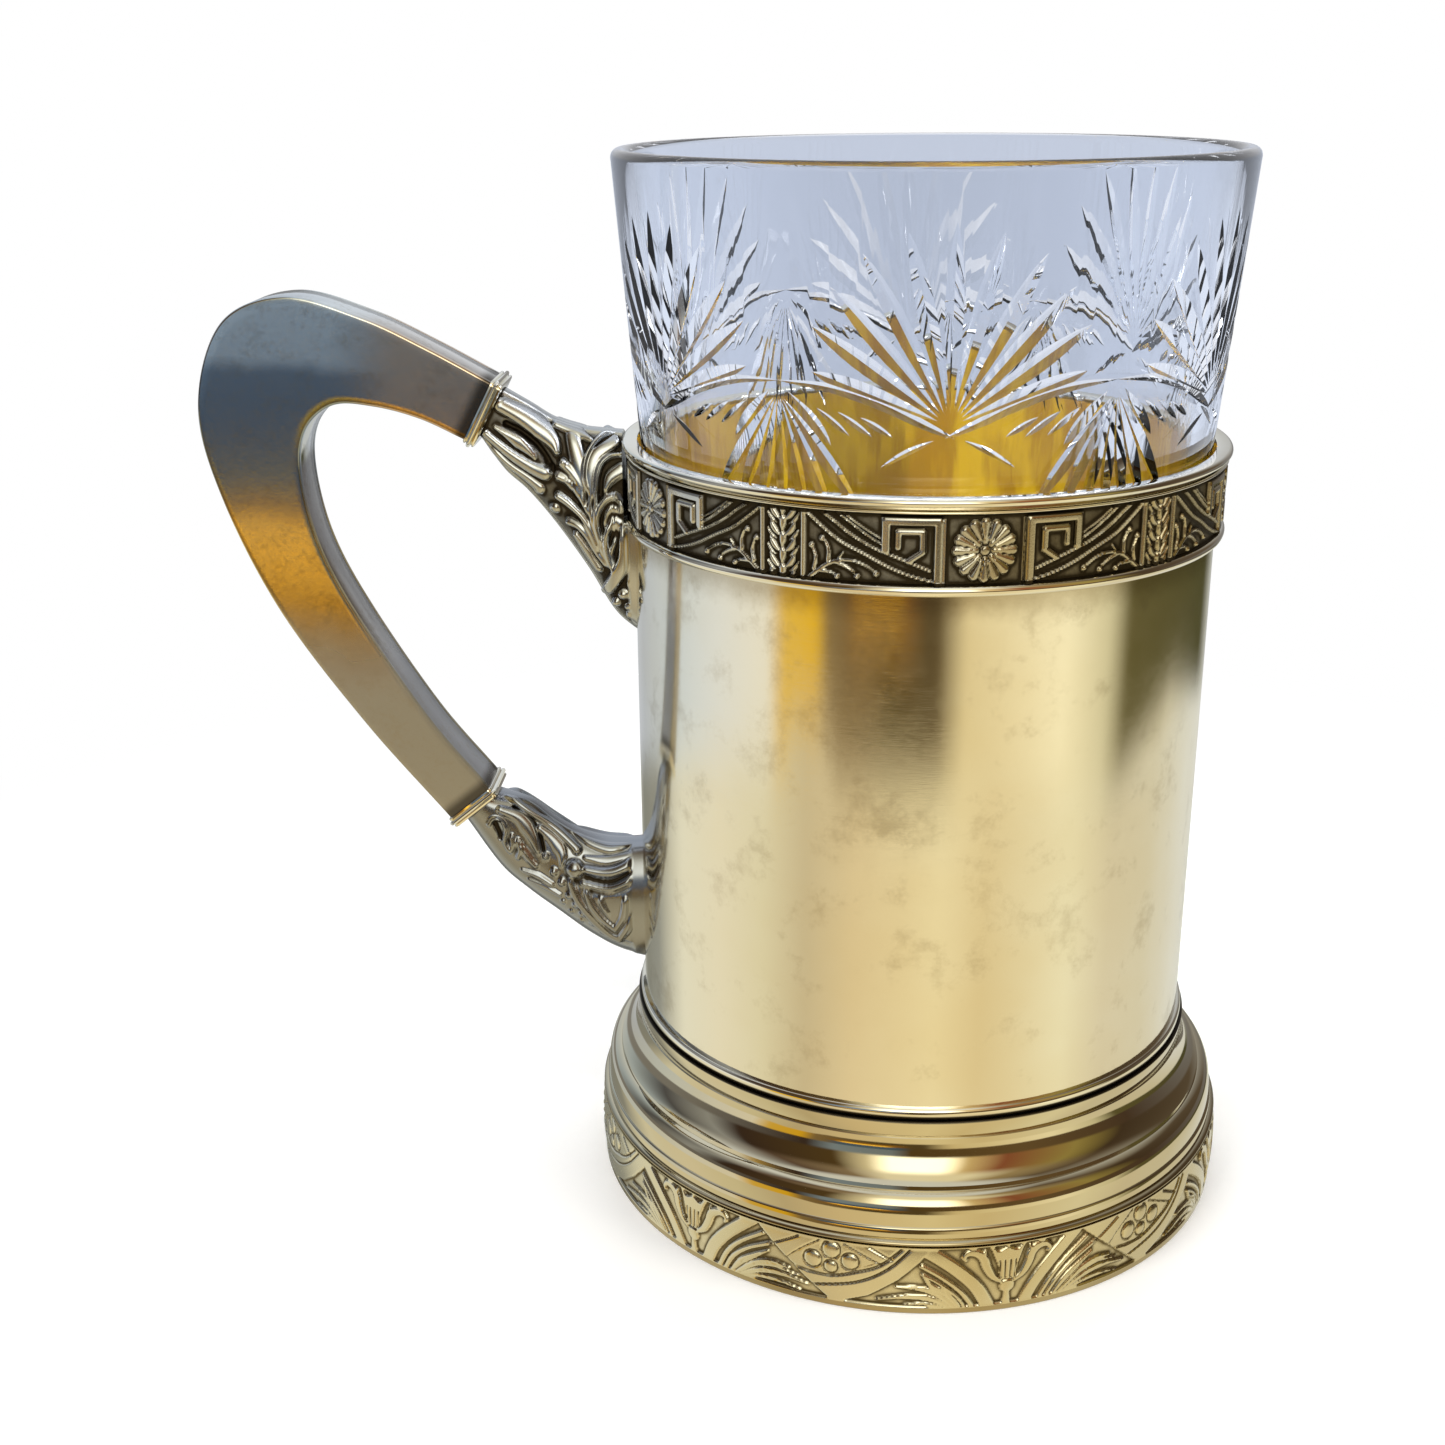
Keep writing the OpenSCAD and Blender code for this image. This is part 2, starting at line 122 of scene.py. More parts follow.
def smooth(points, n):
    """A smooth line through all the points, with n steps between each two."""
    p = np.array(points, float)
    if p.ndim == 1:
        p = p[:, None]
    p = np.vstack([2 * p[0] - p[1], p, 2 * p[-1] - p[-2]])
    t = np.linspace(0, 1, n + 1)[:-1, None]
    run = []
    for a, b, c, d in zip(p, p[1:], p[2:], p[3:]):
        run.append((2 * b + (c - a) * t + (2 * a - 5 * b + 4 * c - d) * t ** 2
                    + (3 * b - a - 3 * c + d) * t ** 3) / 2)
    return np.vstack(run + [p[-2:-1]])


def arc(centre, radii, start, end, n):
    """n + 1 points on an ellipse's arc, from start to end in degrees."""
    a = np.radians(np.linspace(start, end, n + 1))
    return np.column_stack([centre[0] + radii[0] * np.cos(a), centre[1] + radii[1] * np.sin(a)])


def ease(x, low, high):
    """0 below low, 1 above high, and a smooth step between."""
    t = np.clip((x - low) / (high - low), 0, 1)
    return t * t * (3 - 2 * t)


# Meshes

def mesh_piece(name, points, faces, sharp=35.0, merge=1e-4):
    """A mesh object from points in mm: doubles merged, faces outwards, smooth up to the sharp angle."""
    mesh = bpy.data.meshes.new(name)
    mesh.from_pydata((np.asarray(points, float) * MM).tolist(), [], faces)
    shape = bmesh.new()
    shape.from_mesh(mesh)
    bmesh.ops.remove_doubles(shape, verts=shape.verts, dist=merge * MM)
    bmesh.ops.recalc_face_normals(shape, faces=shape.faces)
    shape.to_mesh(mesh)
    shape.free()
    mesh.shade_smooth()
    mesh.set_sharp_from_angle(angle=math.radians(sharp))
    piece = bpy.data.objects.new(name, mesh)
    bpy.context.scene.collection.objects.link(piece)
    return piece


def dress(piece, material, node, body="holder"):
    """Gives a piece its material and slot, sets it on its body, and lets it stand for its CAD node."""
    piece.data.materials.clear()
    piece.data.materials.append(material)
    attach(piece, body)
    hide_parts(node)


def grid_faces(rows, columns, closed_rows=False, closed_columns=False):
    """Quads of a grid of points stored row by row, joined end to end where it closes."""
    row_n = rows if closed_rows else rows - 1
    column_n = columns if closed_columns else columns - 1
    i, j = np.meshgrid(np.arange(row_n), np.arange(column_n), indexing="ij")
    i, j = i.ravel(), j.ravel()
    i2, j2 = (i + 1) % rows, (j + 1) % columns
    return np.column_stack([i * columns + j, i * columns + j2, i2 * columns + j2, i2 * columns + j]).tolist()


def turned(r, a, z):
    """Points at a radius, an azimuth in radians and a height."""
    return np.stack([r * np.sin(a), -r * np.cos(a), z + 0 * a], axis=-1)


def lathe(name, outline, steps, sharp=35.0):
    """A closed outline of radius and height turned about the axis."""
    outline = np.asarray(outline, float)
    a = np.radians(np.arange(steps) * 360 / steps)
    points = turned(outline[:, :1], a, outline[:, 1:]).reshape(-1, 3)
    return mesh_piece(name, points, grid_faces(len(outline), steps, True, True), sharp)


# Shader expressions

class Value:
    """A node's output. An expression on values adds its Math nodes to the tree."""

    def __init__(self, shade, socket):
        self.shade, self.socket = shade, socket

    def __add__(self, other):
        return self.shade.math("ADD", self, other)

    def __sub__(self, other):
        return self.shade.math("SUBTRACT", self, other)

    def __rsub__(self, other):
        return self.shade.math("SUBTRACT", other, self)

    def __mul__(self, other):
        return self.shade.math("MULTIPLY", self, other)

    def __truediv__(self, other):
        return self.shade.math("DIVIDE", self, other)

    __radd__ = __add__
    __rmul__ = __mul__


class Shade:
    """The node tree of a material or of the world."""

    def __init__(self, owner):
        owner.use_nodes = True
        self.tree = owner.node_tree
        self.tree.nodes.clear()

    def node(self, kind, settings=None, sockets=None, out=0):
        """Adds any node: its settings first, then the values or links of its sockets."""
        made = self.tree.nodes.new(kind)
        for key, setting in (settings or {}).items():
            if key == "stops":
                self.set_stops(made.color_ramp, setting)
            else:
                setattr(made, key, setting)
        for key, given in (sockets or {}).items():
            if isinstance(given, Value):
                self.tree.links.new(given.socket, made.inputs[key])
            else:
                made.inputs[key].default_value = given
        return Value(self, made.outputs[out])

    @staticmethod
    def set_stops(ramp, stops):
        """Sets a ramp's places and colours."""
        while len(ramp.elements) < len(stops):
            ramp.elements.new(1.0)
        for element, (place, colour) in zip(ramp.elements, stops):
            element.position, element.color = place, (*colour, 1)

    def math(self, operation, *values):
        """A Math node on one or two values."""
        return self.node("ShaderNodeMath", {"operation": operation}, dict(enumerate(values)))

    def axes(self, vector):
        """The three parts of a vector."""
        made = self.node("ShaderNodeSeparateXYZ", None, {0: vector})
        return [Value(self, made.socket.node.outputs[k]) for k in range(3)]

    def distance(self, x, y):
        """How far a point at x and y lies from 0."""
        return self.math("SQRT", x * x + y * y)

    def scaled(self, vector, scale):
        """A vector with each of its parts multiplied."""
        return self.node("ShaderNodeVectorMath", {"operation": "MULTIPLY"}, {0: vector, 1: scale})

    def place(self):
        """Object coordinates in millimetres."""
        here = self.node("ShaderNodeTexCoord", None, None, "Object")
        return self.scaled(here, (1 / MM, 1 / MM, 1 / MM))

    def noise(self, vector, scale, detail, roughness=0.55):
        """Cloudy noise between 0 and 1."""
        return self.node("ShaderNodeTexNoise", None,
                         {"Vector": vector, "Scale": scale, "Detail": detail, "Roughness": roughness})

    def step(self, value, low, high):
        """A smooth step from 0 at low to 1 at high, either of which may be the larger."""
        return self.node("ShaderNodeMapRange", {"interpolation_type": "SMOOTHSTEP"},
                         {0: value, 1: low, 2: high})

    def plateau(self, value, middle, width):
        """1 over the middle of a range of values, falling to 0 at width on both sides."""
        return self.step(self.math("ABSOLUTE", value - middle), width, width * 0.5)

    def mix(self, factor, a, b):
        """From the first colour to the second one as the factor goes from 0 to 1."""
        a, b = (c if isinstance(c, Value) else (*c, 1) for c in (a, b))
        return self.node("ShaderNodeMix", {"data_type": "RGBA"}, {0: factor, 6: a, 7: b}, 2)

    def ramp(self, factor, stops):
        """A colour read off a row of stops."""
        return self.node("ShaderNodeValToRGB", {"stops": stops}, {0: factor})

    def bump(self, height, strength, distance):
        """A surface normal tilted by fine heights."""
        return self.node("ShaderNodeBump", None,
                         {"Strength": strength, "Distance": distance, "Height": height})

    def light_path(self, kind):
        """1 for rays of one kind and 0 for all others."""
        return self.node("ShaderNodeLightPath", None, None, kind)

    def surface(self, shader, kind="ShaderNodeOutputMaterial"):
        """Ends the tree with its output node."""
        end = self.tree.nodes.new(kind)
        self.tree.links.new(shader.socket, end.inputs["Surface"])


def metal(shade, colour, roughness, normal=None, metallic=1.0):
    """A metal surface. Each of its values may be a number or a shader expression."""
    sockets = {"Base Color": colour, "Roughness": roughness, "Metallic": metallic}
    if normal:
        sockets["Normal"] = normal
    shade.surface(shade.node("ShaderNodeBsdfPrincipled", None, sockets))


# Colours, as linear values

SILVER = (0.90, 0.88, 0.80)
WARM_SILVER = (0.86, 0.81, 0.68)
# The grip's colours: a plain middle, a painted gold reflection, and darker painted reflections below, on the
# plates and the strips
GRIP_SILVER = (0.52, 0.44, 0.32)
GRIP_GOLD_REFLECTION = (0.95, 0.80, 0.42)
GRIP_LOW = (0.34, 0.30, 0.21)
STRIP_SILVER = (0.74, 0.76, 0.79)
STRIP_LOW = (0.40, 0.42, 0.46)
GILT = (0.66, 0.40, 0.008)
GILT_DEEP = (0.40, 0.20, 0.006)
GILT_MATT = 0.7
# Near black for the oxide in the brackets' hollows, and for painted shade in the crevice at the foot, beside
# the collars and at the brackets' necks
BLACK_OXIDE_AND_SHADE = (0.045, 0.036, 0.025)
FRIEZE_GROUND = (0.045, 0.036, 0.022)
FRIEZE_TOP = (0.60, 0.60, 0.58)
FRIEZE_LOW = (0.48, 0.43, 0.31)
BAND_GROUND = (0.20, 0.16, 0.085)
BAND_TOP = (0.76, 0.72, 0.57)
BAND_LOW = (0.68, 0.61, 0.43)
CAST_TOP = (0.52, 0.54, 0.56)
CAST_LOW = (0.40, 0.40, 0.38)
# The foot's darker, golden tone: a painted reflection
FOOT_REFLECTION_TONE = (0.60, 0.52, 0.33)
# A darker, cooler copy of the cast silver for the lower bracket: painted shade
SHADED_CAST_TOP = (0.34, 0.36, 0.40)
SHADED_CAST_LOW = (0.24, 0.235, 0.24)
# Brown for real stains and tarnish spots, and also for painted shade under the frieze and below the ovolo
BROWN_TARNISH_AND_SHADE = (0.30, 0.23, 0.12)
# Painted reflections on the grip: dark blue at the bend, and warm along the arm
BEND_BLUE_REFLECTION = (0.32, 0.38, 0.45)
# A painted pale blue highlight on the grip's bend
BEND_BLUE_HIGHLIGHT = (0.90, 0.95, 0.97)
ARM_WARM_REFLECTION = (0.72, 0.57, 0.45)
GLASS_TINT = (0.90, 0.92, 0.955)


# Materials

def new_material(name):
    """An empty material and its node tree."""
    material = bpy.data.materials.new(name)
    return material, Shade(material)


def sleeve_finish():
    """Satin silver toned to pale gold, warmer towards +X as a painted reflection, brushed round under the
    frieze, with painted shade there and at the foot, gilt inside.
    """
    material, s = new_material("sleeve_satin_silver")
    place = s.place()
    x, y, z = s.axes(place)
    cloud = s.noise(place, 0.045, 3.0)
    stain = s.noise(place, 0.16, 5.0, 0.65)
    # Random toning, with a bias warmer towards +X that is a painted reflection
    colour = s.mix(s.step(x * 0.004 + cloud, 0.3, 0.7), SILVER, WARM_SILVER)
    colour = s.mix(s.step(stain, 0.52, 0.74) * 0.3, colour, BROWN_TARNISH_AND_SHADE)
    # Painted shade under the frieze's lower wire, in the same brown as the stains
    frieze_shade = s.step(z + stain * 4.0, LOWER_WIRE_Z - 2.0, LOWER_WIRE_Z + 2.0)
    colour = s.mix(frieze_shade * 0.55, colour, BROWN_TARNISH_AND_SHADE)
    # Painted shade: the sleeve darkened near black where it meets the foot
    colour = s.mix(s.step(z, FOOT_TOP_Z + 1.3, FOOT_TOP_Z + 0.7) * 0.8, colour, BLACK_OXIDE_AND_SHADE)
    inside = s.step(s.distance(x, y), SLEEVE_R - 0.2, SLEEVE_R - 0.4)
    streak = s.noise(s.scaled(place, (0.22, 0.22, 0.05)), 1.0, 3.0, 0.6)
    colour = s.mix(inside, colour, s.mix(s.step(streak, 0.4, 0.62), GILT_DEEP, GILT))
    brush = s.noise(s.scaled(place, (0.1, 0.1, 4.0)), 1.0, 4.0, 0.75)
    fine = s.noise(s.scaled(place, (0.5, 0.5, 40.0)), 1.0, 2.0, 0.6)
    height = brush * s.step(z, risen(0.55), risen(0.85)) + fine * 0.4
    roughness = 0.06 + 0.06 * s.step(stain, 0.3, 0.8) + 0.04 * brush + 0.25 * inside
    metal(s, colour, roughness, s.bump(height, 0.3, 0.000008), 1 - GILT_MATT * inside)
    return material


def bright_finish():
    """Polished silver with faint wear and warm tarnish, painted darker and golden on the foot as a
    reflection, with painted shade below the ovolo and at the sleeve's foot.
    """
    material, s = new_material("bright_silver")
    place = s.place()
    x, y, z = s.axes(place)
    cloud = s.noise(place, 0.09, 4.0)
    colour = s.mix(s.step(cloud, 0.35, 0.7), SILVER, WARM_SILVER)
    # Painted reflection: the foot below the sleeve made darker and more golden, standing in for the warm,
    # dark room that it mirrors
    colour = s.mix(s.step(z, FOOT_TOP_Z + 0.5, FOOT_TOP_Z - 0.5) * 0.7, colour, FOOT_REFLECTION_TONE)
    # Painted shade: this finish darkened in brown below the ovolo's lower edge, on the bead and the base ring
    under = s.step(z, low_z("foot_ovolo") + 0.2, low_z("foot_ovolo") - 0.4)
    colour = s.mix(under * 0.6, colour, BROWN_TARNISH_AND_SHADE)
    # Painted shadow in the crevice where the sleeve meets the foot: a near-black line, also rougher
    crevice_shadow = s.plateau(z, FOOT_TOP_Z + 0.2, 0.5)
    colour = s.mix(crevice_shadow, colour, BLACK_OXIDE_AND_SHADE)
    scratch = s.noise(s.scaled(place, (0.6, 0.6, 14.0)), 1.0, 4.0, 0.7)
    roughness = 0.03 + 0.04 * s.step(cloud, 0.4, 0.75) + 0.02 * scratch + 0.4 * crevice_shadow
    metal(s, colour, roughness, s.bump(scratch, 0.1, 0.000006))
    return material


def collar_shade(s, x, z, turn, end):
    """1 on the grip right beside a collar, 0 from 2 mm off."""
    outer, inner = np.array(placed(GRIP_OUTER_SHARES)[end]), np.array(placed(GRIP_INNER_SHARES)[end])
    across = (outer - inner) / np.linalg.norm(outer - inner)
    middle = (outer + inner) / 2
    off_x, off_z = x - float(middle[0]), z - float(middle[1])
    beside = (off_x * float(-across[1]) + off_z * float(across[0])) * turn
    return s.step(beside, 2.0, 0.5) * s.plateau(s.distance(off_x, off_z), 0.0, 16.0)


def grip_finish(name, zone_share, plain, low_colour, reflection_colour):
    """Satin plates of the grip in painted reflections: dark and cool at the bend, warm along the arm, a gold
    band and a darker colour below, with real tarnish spots and painted shade by the collars.
    """
    material, s = new_material(name)
    place = s.place()
    x, y, z = s.axes(place)
    cloud = s.noise(place, 0.06, 3.0)
    grain = s.noise(place, 1.7, 6.0, 0.75)
    blotch = s.noise(place, 0.35, 5.0, 0.7)
    bend = z + (cloud - 0.5) * 6.0
    # Painted reflection over the top of the grip: dark blue at the bend by the sleeve and warm out along the
    # arm, as strong as the second argument says
    high = s.step(bend, risen(0.85), risen(0.94)) * zone_share
    # Painted reflection: a darker, less metallic colour over the lower part of the grip
    low = s.step(z + (cloud - 0.5) * 12.0, risen(0.74), risen(0.54))
    arm = s.step(x + (cloud - 0.5) * 12.0, -SLEEVE_R - 0.72 * REACH, -SLEEVE_R - 0.5 * REACH)
    # Painted highlight: a pale blue patch at the top of the bend, near the sleeve
    blue_highlight = s.plateau(bend, risen(1.16), 0.07 * RISE) * (1 - arm)
    # Painted reflection: a gold band across the plates below the bend
    gold_reflection = s.step(bend, risen(0.60), risen(0.82)) * s.step(bend, risen(0.88), risen(0.83))
    colour = s.mix(high, s.mix(low, plain, low_colour), s.mix(arm, BEND_BLUE_REFLECTION, ARM_WARM_REFLECTION))
    colour = s.mix(blue_highlight * 0.8, colour, BEND_BLUE_HIGHLIGHT)
    colour = s.mix(gold_reflection * 0.85, colour, reflection_colour)
    colour = s.mix(s.step(grain + blotch, 0.95, 1.3) * 0.28, colour, BROWN_TARNISH_AND_SHADE)
    shade = collar_shade(s, x, z, 1, 0) + collar_shade(s, x, z, -1, -1)
    colour = s.mix(shade * 0.85, colour, BLACK_OXIDE_AND_SHADE)
    metal(s, colour, 0.08 + 0.1 * grain + 0.1 * low, s.bump(grain, 0.1, 0.00006), 1 - 0.55 * low)
    return material


def relief_finish(name, ground, top_colour, low_colour, stipple):
    """Relief metal: polished tops, and tarnish left in its hollows by the piece's own attribute, which on the
    brackets also carries painted shade at the neck.
    """
    material, s = new_material(name)
    place = s.place()
    x, y, z = s.axes(place)
    hollow = s.node("ShaderNodeAttribute", {"attribute_name": "hollow"}, None, "Fac")
    wear = s.noise(place, 0.5, 5.0, 0.7)
    pits = s.noise(place, 5.5, 3.0, 0.6)
    cloud = s.noise(place, 0.07, 3.0)
    depth = s.step(hollow + (wear - 0.5) * 0.35, 0.15, 0.85)
    top = s.mix(s.step(cloud + x * 0.008, 0.35, 0.75), top_colour, low_colour)
    metal(s, s.mix(depth, top, ground), 0.16 + 0.34 * depth + 0.08 * wear,
          s.bump(pits * (0.15 + depth), stipple, 0.00012))
    return material


def gilt_finish():
    """Gilding on the floor disc."""
    material, s = new_material("gilt_floor")
    grain = s.noise(s.place(), 0.8, 5.0, 0.7)
    metal(s, s.mix(grain, GILT, GILT_DEEP), 0.3 + 0.1 * grain, None, 1 - GILT_MATT)
    return material


def crystal_finish():
    """Clear cut crystal that lets the lamps' light through."""
    material, s = new_material("crystal")
    glass = s.node("ShaderNodeBsdfPrincipled", None, {
        "Base Color": (*GLASS_TINT, 1), "Roughness": 0.0, "IOR": 1.53, "Transmission Weight": 1.0})
    clear = s.node("ShaderNodeBsdfTransparent", None, {"Color": (*GLASS_TINT, 1)})
    s.surface(s.node("ShaderNodeMixShader", None, {0: s.light_path("Is Shadow Ray"), 1: glass, 2: clear}))
    return material


# The foot and the plain rings, each turned about the axis

FOOT_WALL = 0.9
COVE_UPRIGHT_H = 2.2
COVE_TOP_PROUD = 0.3
OVOLO_FILLET_H = 1.5
BASE_RING_W = 6.3
TURN_N = 22
RING_N = 256
WIRE_N = 288


def cove_outline():
    """The foot's concave neck, in section."""
    low, high = low_z("foot_cove"), FOOT_TOP_Z
    h = high - low
    upright_z = high - COVE_UPRIGHT_H
    low_r = outer_r("foot_cove")
    top_r = outer_r("sleeve_foot_wire") + COVE_TOP_PROUD
    lap_r = low_r - 2 * FOOT_WALL
    mouth_r = SLEEVE_IN_R - FOOT_WALL
    outside = cubic((top_r, upright_z), (top_r, low + 0.45 * h),
                    (low_r - 0.5 * (low_r - SLEEVE_R), low + 0.16 * h),
                    (low_r - FOOT_WALL / 8, low + FOOT_WALL / 2), TURN_N)
    inside = cubic((lap_r, low + FOOT_WALL / 4), (lap_r - FOOT_WALL, low + FOOT_WALL),
                   (top_r - FOOT_WALL, low + 0.4 * h), (top_r - FOOT_WALL, upright_z), TURN_N)
    rim = [[mouth_r, high - FOOT_WALL], [mouth_r, high], [top_r - 0.15, high], [top_r, high - 0.15],
           [top_r, upright_z + 0.3], [top_r - 0.12, upright_z + 0.1]]
    return np.vstack([outside, [[low_r, low]], inside, rim])


def ovolo_outline():
    """The foot's convex shoulder, in section."""
    low, high = low_z("foot_ovolo"), top_z("foot_ovolo")
    h = high - low
    edge = outer_r("foot_ovolo")
    top_r = outer_r("foot_cove")
    lap_r = top_r - 2 * FOOT_WALL
    fillet_z = low + OVOLO_FILLET_H
    inner = edge - FOOT_WALL
    outside = cubic((top_r, high), (edge - 0.55 * FOOT_WALL, high - 0.06 * h),
                    (edge - FOOT_WALL / 4, fillet_z + 0.45 * h), (edge - FOOT_WALL / 4, fillet_z), TURN_N)
    inside = cubic((inner, fillet_z - FOOT_WALL / 2), (inner, high - FOOT_WALL), (top_r, high - FOOT_WALL),
                   (lap_r, high - FOOT_WALL), TURN_N)
    fillet = [[edge - 0.05, fillet_z - 0.1], [edge, fillet_z - 0.2], [edge, low + 0.1], [edge - 0.1, low],
              [inner, low]]
    return np.vstack([outside, fillet, inside, [[lap_r, high]]])


def wire_outline(node, wall_r):
    """A half-round wire in the place of its CAD node, against a wall."""
    low, high = low_z(node), top_z(node)
    h, proud = high - low, outer_r(node) - wall_r
    bulge = arc((wall_r + proud / 2, low + h / 2), (proud / 2, h / 2), -90, 90, 14)
    return np.vstack([[[wall_r, low]], bulge, [[wall_r, low + h]]])


def rim_outline():
    """The rounded rim over the sleeve's top edge, in section."""
    r = outer_r("rim_lip")
    h = RIM_Z - SLEEVE_TOP_Z
    nose = arc((r - h / 2, SLEEVE_TOP_Z + h / 2), (h / 2, h / 2), -90, 90, 16)
    return np.vstack([[[SLEEVE_IN_R, SLEEVE_TOP_Z]], nose,
                      [[SLEEVE_IN_R + h / 4, RIM_Z], [SLEEVE_IN_R + h / 12, RIM_Z - h / 12],
                       [SLEEVE_IN_R, RIM_Z - h / 4]]])


def base_ring_outline():
    """The flat ring that the holder rests on, in section."""
    r, h = outer_r("foot_base_ring"), top_z("foot_base_ring")
    corner = arc((r - h / 3, h / 3), (h / 3, h / 3), -90, 0, 6)
    return np.vstack([[[r - BASE_RING_W, 0], [r - h / 3, 0]], corner, [[r, h], [r - BASE_RING_W, h]]])


def make_rings(material):
    """The plain rings of the foot, the wires and the rim."""
    lap_r = outer_r("foot_ovolo") - FOOT_WALL
    rings = [("cove", "foot_cove", cove_outline(), RING_N),
             ("ovolo", "foot_ovolo", ovolo_outline(), RING_N),
             ("bead_wire", "foot_bead", wire_outline("foot_bead", lap_r), WIRE_N),
             ("sleeve_wire", "sleeve_foot_wire", wire_outline("sleeve_foot_wire", SLEEVE_R), WIRE_N),
             ("lower_moulding", "frieze_lower_wire", wire_outline("frieze_lower_wire", SLEEVE_R), WIRE_N),
             ("upper_wire", "frieze_upper_wire", wire_outline("frieze_upper_wire", SLEEVE_R), WIRE_N),
             ("rim", "rim_lip", rim_outline(), RING_N)]
    for name, node, outline, steps in rings:
        dress(lathe(name, outline, steps), material, node)
    dress(lathe("base_ring", base_ring_outline(), RING_N), material, "foot_base_ring")


# Relief: heights over a field of points, raised by strokes and pellets and sunk by carving

STROKE_EDGE = 0.14
CUT_EDGE = 0.12
PELLET_EDGE = 0.08
LEAF_CROWN = 0.8


class Relief:
    """Heights, in mm, over points of a flat or unrolled field."""

    def __init__(self, u, v):
        self.u, self.v = u, v
        self.h = np.zeros_like(u)

    def inside(self, path, halves, spare):
        """Which points lie within reach of a path, how deep inside its edge, and its half width there."""
        path = np.array(path, float)
        halves = np.broadcast_to(np.array(halves, float), (len(path),))
        reach = halves.max() + spare
        low, high = path.min(0) - reach, path.max(0) + reach
        near = np.flatnonzero((self.u > low[0]) & (self.u < high[0]) & (self.v > low[1]) & (self.v < high[1]))
        u, v = self.u[near], self.v[near]
        depth = np.full(len(near), -1e3)
        half = np.full(len(near), halves[0])
        for a, b, ha, hb in zip(path, path[1:], halves, halves[1:]):
            run = b - a
            t = np.clip(((u - a[0]) * run[0] + (v - a[1]) * run[1]) / max(run @ run, 1e-9), 0, 1)
            width = ha + (hb - ha) * t
            d = width - np.hypot(u - a[0] - t * run[0], v - a[1] - t * run[1])
            better = d > depth
            depth = np.where(better, d, depth)
            half = np.where(better, width, half)
        return near, depth, half

    def profile(self, depth, half, edge, crown):
        """0 outside, rising over the edge's width to 1, crowned towards the middle line."""
        body = ease(depth, -edge / 2, edge / 2)
        dome = np.sqrt(np.clip(1 - (1 - np.clip(depth / np.maximum(half, 1e-6), 0, 1)) ** 2, 0, 1))
        return body * ((1 - crown) + crown * dome)

    def stroke(self, path, halves, height, edge=STROKE_EDGE, crown=0.3):
        """Raises a band along a path."""
        near, depth, half = self.inside(path, halves, edge)
        raised = np.where(depth < -edge / 2, -np.inf, height * self.profile(depth, half, edge, crown))
        self.h[near] = np.maximum(self.h[near], raised)

    def carve(self, path, halves, sunk, crown=0.8):
        """Sinks a groove along a path."""
        near, depth, half = self.inside(path, halves, CUT_EDGE)
        self.h[near] -= sunk * self.profile(depth, half, CUT_EDGE, crown)

    def plate(self, corners, height, sink=False):
        """Raises the flat inside of a closed outline to a height, or sinks it by that much."""
        loop = np.vstack([corners, corners[:1]])
        near, depth, _ = self.inside(loop, 0.0, CUT_EDGE)
        u, v = self.u[near], self.v[near]
        held = np.zeros(len(near), bool)
        for (ua, va), (ub, vb) in zip(loop, loop[1:]):
            if va != vb:
                held ^= ((va > v) != (vb > v)) & (u < (ub - ua) * (v - va) / (vb - va) + ua)
        body = ease(np.where(held, -depth, depth), -CUT_EDGE / 2, CUT_EDGE / 2)
        if sink:
            self.h[near] -= height * body
        else:
            self.h[near] = np.maximum(self.h[near], height * body)

    def pellet(self, centre, radius, height, crown=1.0):
        """Raises a round boss."""
        self.stroke(dot(centre), radius, height, PELLET_EDGE, crown)

    def leaf(self, base, tip, half, height, bend=0.0):
        """Raises a pointed leaf from its base to its tip, bowed sideways by bend."""
        base, tip = np.array(base, float), np.array(tip, float)
        t = np.linspace(0, 1, 9)
        side = np.array([-(tip - base)[1], (tip - base)[0]])
        path = base + t[:, None] * (tip - base) + (bend * np.sin(np.pi * t))[:, None] * side
        halves = half * np.sin(np.pi * np.clip(t, 0.04, 0.985)) ** 0.8
        self.stroke(path, halves, height, CUT_EDGE, LEAF_CROWN)


def dot(centre):
    """A path with almost no length, for round shapes."""
    return [centre, (centre[0] + 1e-4, centre[1])]


def soften(field, rounds):
    """Averages a grid of heights with its neighbours, closed round along its columns."""
    for _ in range(rounds):
        field = (field + np.roll(field, 1, 1) + np.roll(field, -1, 1)) / 3
        padded = np.pad(field, ((1, 1), (0, 0)), mode="edge")
        field = (padded[:-2] + padded[1:-1] + padded[2:]) / 3
    return field


def hollows(field, scale, rounds):
    """How far each point lies below its surroundings, from 0 to 1."""
    return np.clip((soften(field, rounds) - field) / scale, 0, 1)


def mark_hollows(piece, values):
    """Stores how deep each point lies, for the material to tarnish; on the brackets it also carries painted
    shade at the neck.
    """
    marks = piece.data.attributes.new("hollow", "FLOAT", "POINT")
    spread = np.zeros(len(piece.data.vertices), np.float32)
    spread[:len(values)] = values
    marks.data.foreach_set("value", spread)


def relief_ring(name, radii, heights, hollow, back_r):
    """A closed ring whose outer face is a grid of radii and heights, row by row upwards."""
    rows, columns = radii.shape
    a = np.radians(np.arange(columns) * 360 / columns - 90)
    back = np.stack([turned(back_r, a, heights[row, 0]) for row in (-1, 0)])
    points = np.concatenate([turned(radii, a, heights), back]).reshape(-1, 3)
    piece = mesh_piece(name, points, grid_faces(rows + 2, columns, True, True), 60.0, 1e-5)
    mark_hollows(piece, np.concatenate([hollow.ravel(), np.zeros(2 * columns)]))
    return piece


# Frieze: places along it are mm from a rosette's middle, and up from the strip's lower edge

